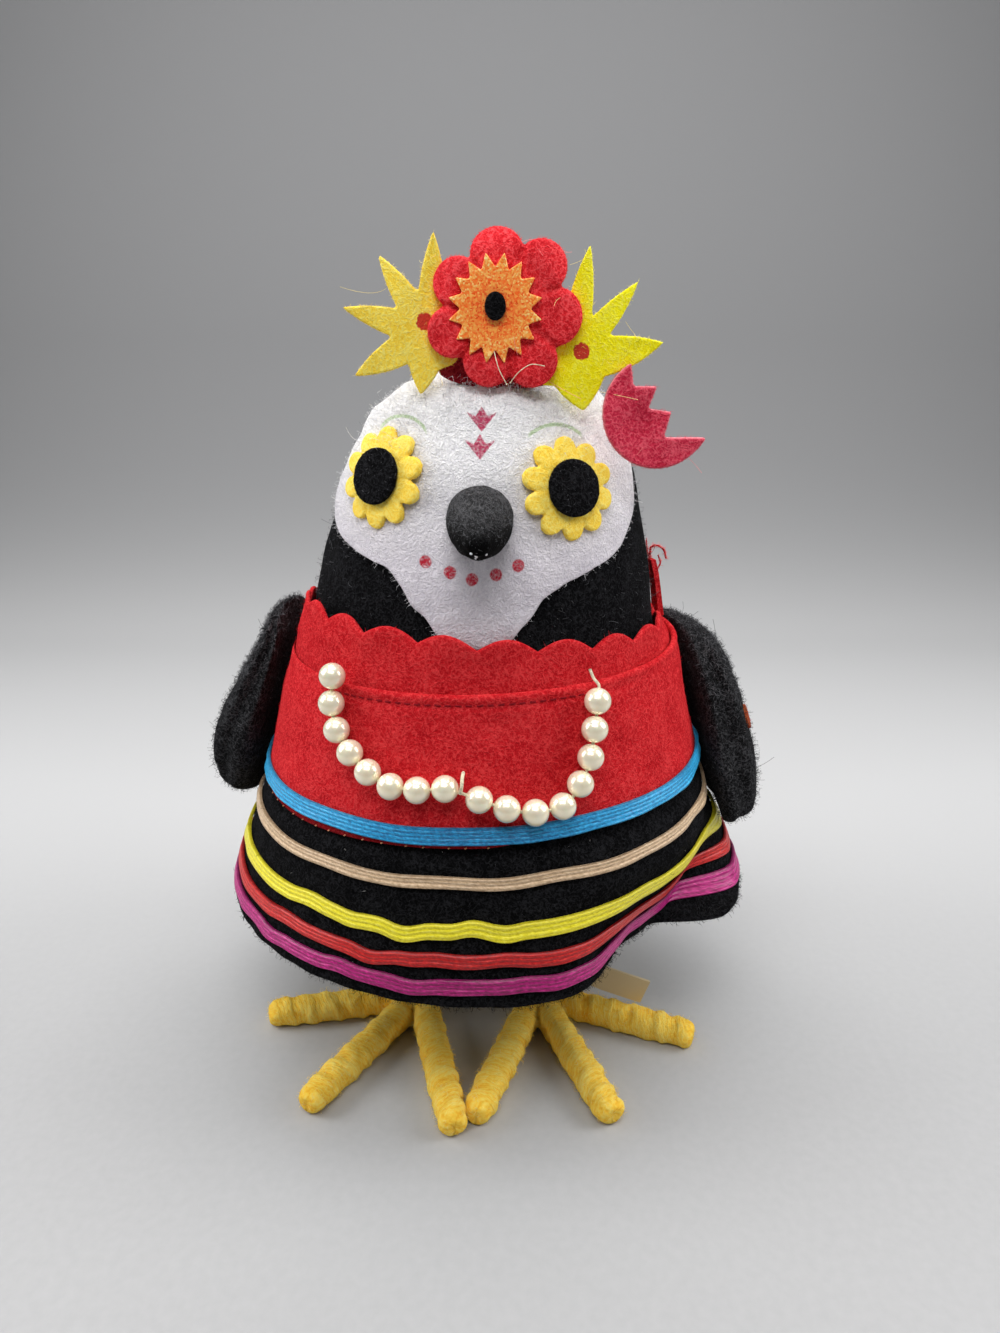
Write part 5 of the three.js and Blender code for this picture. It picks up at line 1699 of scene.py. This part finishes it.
def smooth_path(points, count):
    """A smooth curve through a few points."""
    points = np.asarray(points, float)
    at = np.concatenate([[0], np.cumsum(np.linalg.norm(np.diff(points, axis=0), axis=1))])
    fine = np.linspace(0, at[-1], count)
    return np.stack([through(list(zip(at, points[:, k])))(fine) for k in range(3)], -1)


THREAD_RADIUS, LOOP_RADIUS = 0.28, 0.32
# The thread's end beyond the last pearl, and its loop between the middle ones
THREAD_END = [(0.2, 0.6, 2.6), (-0.7, 1.4, 3.8), (-1.4, 1.9, 5.4)]
THREAD_LOOP = [(-0.3, -0.6, 0.4), (0, -0.9, 2.0), (0.1, 0.2, 3.2), (0.2, 1.6, 3.4)]


def make_threads(beads):
    """The thread of the necklace."""
    centres = [points_of(bead)[0].mean(0) for bead in beads]
    end = [centres[-1] + step for step in THREAD_END]
    loop = [(centres[7] + centres[8]) / 2 + step for step in THREAD_LOOP]
    laid = tube(smooth_path([*centres, *end], 240), THREAD_RADIUS)
    slack = tube(smooth_path(loop, 30), LOOP_RADIUS)
    piece("necklace_thread", *joined([laid, slack]), "cream_ribbon", material="cream_thread")


NAPE_THREADS = [
    [
        (36.9, 9.5, 103.6), (36.6, 9.6, 106.7), (36.6, 9.8, 109.3),
        (38.0, 9.6, 109.9), (39.6, 9.4, 108.9), (40.1, 9.2, 107.1),
    ],
    [(36.7, 9.5, 106.2), (36.0, 9.6, 108.6), (35.6, 9.6, 111.1)],
    [(38.2, 9.2, 104.6), (38.9, 9.2, 106.2), (38.3, 9.3, 107.8)],
]
NAPE_THREAD_RADII = (0.2, 0.12, 0.15)
CROWN_THREAD_RADIUS = 0.08
CROWN_THREADS = [
    [(2.5, -28.4, 150.4), (3.2, -29.0, 147.8), (4.7, -28.6, 144.9)],
    [(5.2, -28.2, 145.2), (6.9, -29.0, 147.2), (9.1, -28.8, 148.3), (11.1, -28.2, 148.0)],
]


def make_loose_threads():
    """The frayed end of the strip at the nape, and two threads under the middle flower."""
    curls = [tube(smooth_path(path, 24), r, 6) for path, r in zip(NAPE_THREADS, NAPE_THREAD_RADII)]
    frayed = piece("nape_threads", *joined(curls), "red_felt")
    add_nap(frayed, "red_felt", ("red", "rose"), 620, 1.2, 470, width=0.045)
    pale = [tube(smooth_path(path, 20), CROWN_THREAD_RADIUS, 5) for path in CROWN_THREADS]
    piece("crown_threads", *joined(pale), "cream_ribbon", material="cream_thread")


STRAY_RADIUS = 0.035
# Pieces with long loose fibres: piece, slot, shade, how many, length, and where more of them grow
STRAYS = [
    ("mask_cloth", "white_felt", "white", 36, 2.0, mask_rim),
    ("red_petals", "red_felt", "rose", 10, 2.0, cut_edges),
    ("yellow_petals_left", "warm_yellow_felt", "straw", 10, 2.2, cut_edges),
    ("yellow_petals_right", "neon_yellow_felt", "straw", 12, 2.6, cut_edges),
    ("pink_rosette", "pink_felt", "rose", 6, 2.0, cut_edges),
    ("collar_band", "red_felt", "red", 24, 1.3, everywhere),
    ("wing_left_pad", "black_felt", "soot", 40, 1.5, everywhere),
    ("wing_right_pad", "black_felt", "soot", 40, 1.5, everywhere),
    ("body_bag", "black_felt", "ash", 30, 1.5, head_only),
]


def make_strays(of, slot, shade, count, length, weight, seed):
    """A few long loose fibres that stand off a piece in wide curls."""
    rng = np.random.default_rng(seed)
    places, normals = scattered(*points_of(bpy.data.objects[of]), count, rng, weight)
    curls = []
    for place, normal in zip(places, normals):
        size = length * rng.uniform(0.4, 1.3)
        way = normal + 0.7 * rng.normal(size=3)
        turned = np.cross(way, rng.normal(size=3))
        steps = np.linspace(0, 1, 9)[:, None]
        curl = place - 0.1 * normal + size * (steps * way + 0.9 * steps ** 2 * turned * rng.uniform(-1, 1))
        curls.append(tube(curl, STRAY_RADIUS, 3))
    piece(f"{of}_strays", *joined(curls), slot, material=shade)


# Stage, camera and light

WALL_START, WALL_CURVE, STAGE_HALF, WALL_HEIGHT = 300, 160, 900, 900
# Floor: painted shade in front of and under the bird, the paler floor further back, and the depths between
# which the one fades into the other; then the grey of the backdrop
FLOOR_NEAR_SHADED, FLOOR_BACK = [(0.3, (0.44, 0.44, 0.443)), (0.7, (0.465, 0.465, 0.468))], (0.545, 0.545, 0.548)
FLOOR_SHADE_FADE, WALL_GREY = (-60.0, 140.0), (0.30, 0.30, 0.305)


def make_stage():
    """A pale floor that curves up into a plain grey backdrop, with painted shade on the floor in front of and
    under the bird that fades towards the back.
    """
    arc = np.radians(np.linspace(0, 90, 19))
    profile = [(-STAGE_HALF, 0.0)]
    profile += [(WALL_START + WALL_CURVE * math.sin(a), WALL_CURVE * (1 - math.cos(a))) for a in arc]
    profile.append((WALL_START + WALL_CURVE, WALL_HEIGHT))
    points = np.array([(x, y, z - 0.02) for x in (-STAGE_HALF, STAGE_HALF) for y, z in profile])
    surface = Surface("paper", Roughness=0.8, Specular_IOR_Level=0.2)
    grain = surface.noise(surface.place(), 2.0, 90, detail=4)
    # Painted shade: the floor is darker in front of and under the bird
    back = surface.eased(surface.axes(surface.place())[1], *FLOOR_SHADE_FADE)
    floor = surface.mix(back, surface.ramp(grain, FLOOR_NEAR_SHADED), FLOOR_BACK)
    surface.finish(surface.mix(surface.value("wall"), floor, WALL_GREY))
    wall = ease(points[:, 1], WALL_START, WALL_START + WALL_CURVE)
    faces = grid_faces(2, len(profile), False, False)
    stage = mesh_object("paper_floor", points, faces, surface.material, {"wall": wall})
    stage.data.flip_normals()


def make_camera():
    data = bpy.data.cameras.new("camera")
    data.lens = CAMERA_LENS
    data.sensor_width = SENSOR
    data.clip_start = NEAREST * MM
    camera = linked("camera", data)
    camera.location = Vector((np.array(CAMERA_PLACE) + AXIS) * MM)
    camera.rotation_euler = (math.radians(90 - CAMERA_PITCH), 0, 0)
    bpy.context.scene.camera = camera


ROOM_COLOUR, ROOM_STRENGTH = (0.9, 0.95, 1.0), 0.06
BIRD_MIDDLE, BIRD_CROWN = (0, 0, 85), (4, -22, 156)
# Lights: place, width and height, power, and where it differs, aim and spread
LIGHTS = {
    "top_light": ((0, 80, 560), (480, 420), 2.2),
    "front_top_light": ((-40, -330, 520), (420, 200), 1.2),
    "left_light": ((-420, -30, 320), (260, 300), 1.45),
    "right_light": ((420, -30, 320), (260, 300), 1.45),
    "crown_light": ((0, -240, 420), (150, 100), 0.025, BIRD_CROWN, 45),
}


def soft_light(name, place, size, power, aim=BIRD_MIDDLE, spread=180):
    """A rectangular light, in millimetres, watts and degrees, aimed at a place on the bird."""
    data = bpy.data.lights.new(name, "AREA")
    data.shape = "RECTANGLE"
    data.size, data.size_y = size[0] * MM, size[1] * MM
    data.energy = power
    data.spread = math.radians(spread)
    light = linked(name, data)
    light.location = Vector(place) * MM
    light.rotation_euler = (Vector(aim) - Vector(place)).to_track_quat("-Z", "Y").to_euler()


def make_light():
    world = bpy.data.worlds.new("room")
    world.use_nodes = True
    shade = next(n for n in world.node_tree.nodes if n.type == "BACKGROUND")
    shade.inputs["Color"].default_value = (*ROOM_COLOUR, 1)
    shade.inputs["Strength"].default_value = ROOM_STRENGTH
    bpy.context.scene.world = world
    for name, light in LIGHTS.items():
        soft_light(name, *light)
    bpy.context.scene.view_settings.view_transform = "Standard"


make_body()
make_mask()
make_beak()
make_eyes()
make_crown()
make_collar()
make_bodice()
make_skirt()
for ribbon_seed, (ribbon_colour, ribbon_size) in enumerate(RIBBONS.items()):
    make_ribbon(ribbon_colour, ribbon_size, 200 + 10 * ribbon_seed)
make_stitches()
for wing_seed, (wing_name, wing_size) in enumerate(WINGS.items()):
    make_wing(wing_name, wing_size, 300 + wing_seed)
for foot_name, foot_size in FEET.items():
    make_foot(foot_name, foot_size)
make_threads(make_pearls())
make_patch(WINGS["wing_right"])
make_loose_threads()
for stray_seed, stray in enumerate(STRAYS):
    make_strays(*stray, 600 + stray_seed)
make_dust()
give_material("tag", "cream_ribbon")
give_material("nape_tie", "red_felt")
make_stage()
make_camera()
make_light()
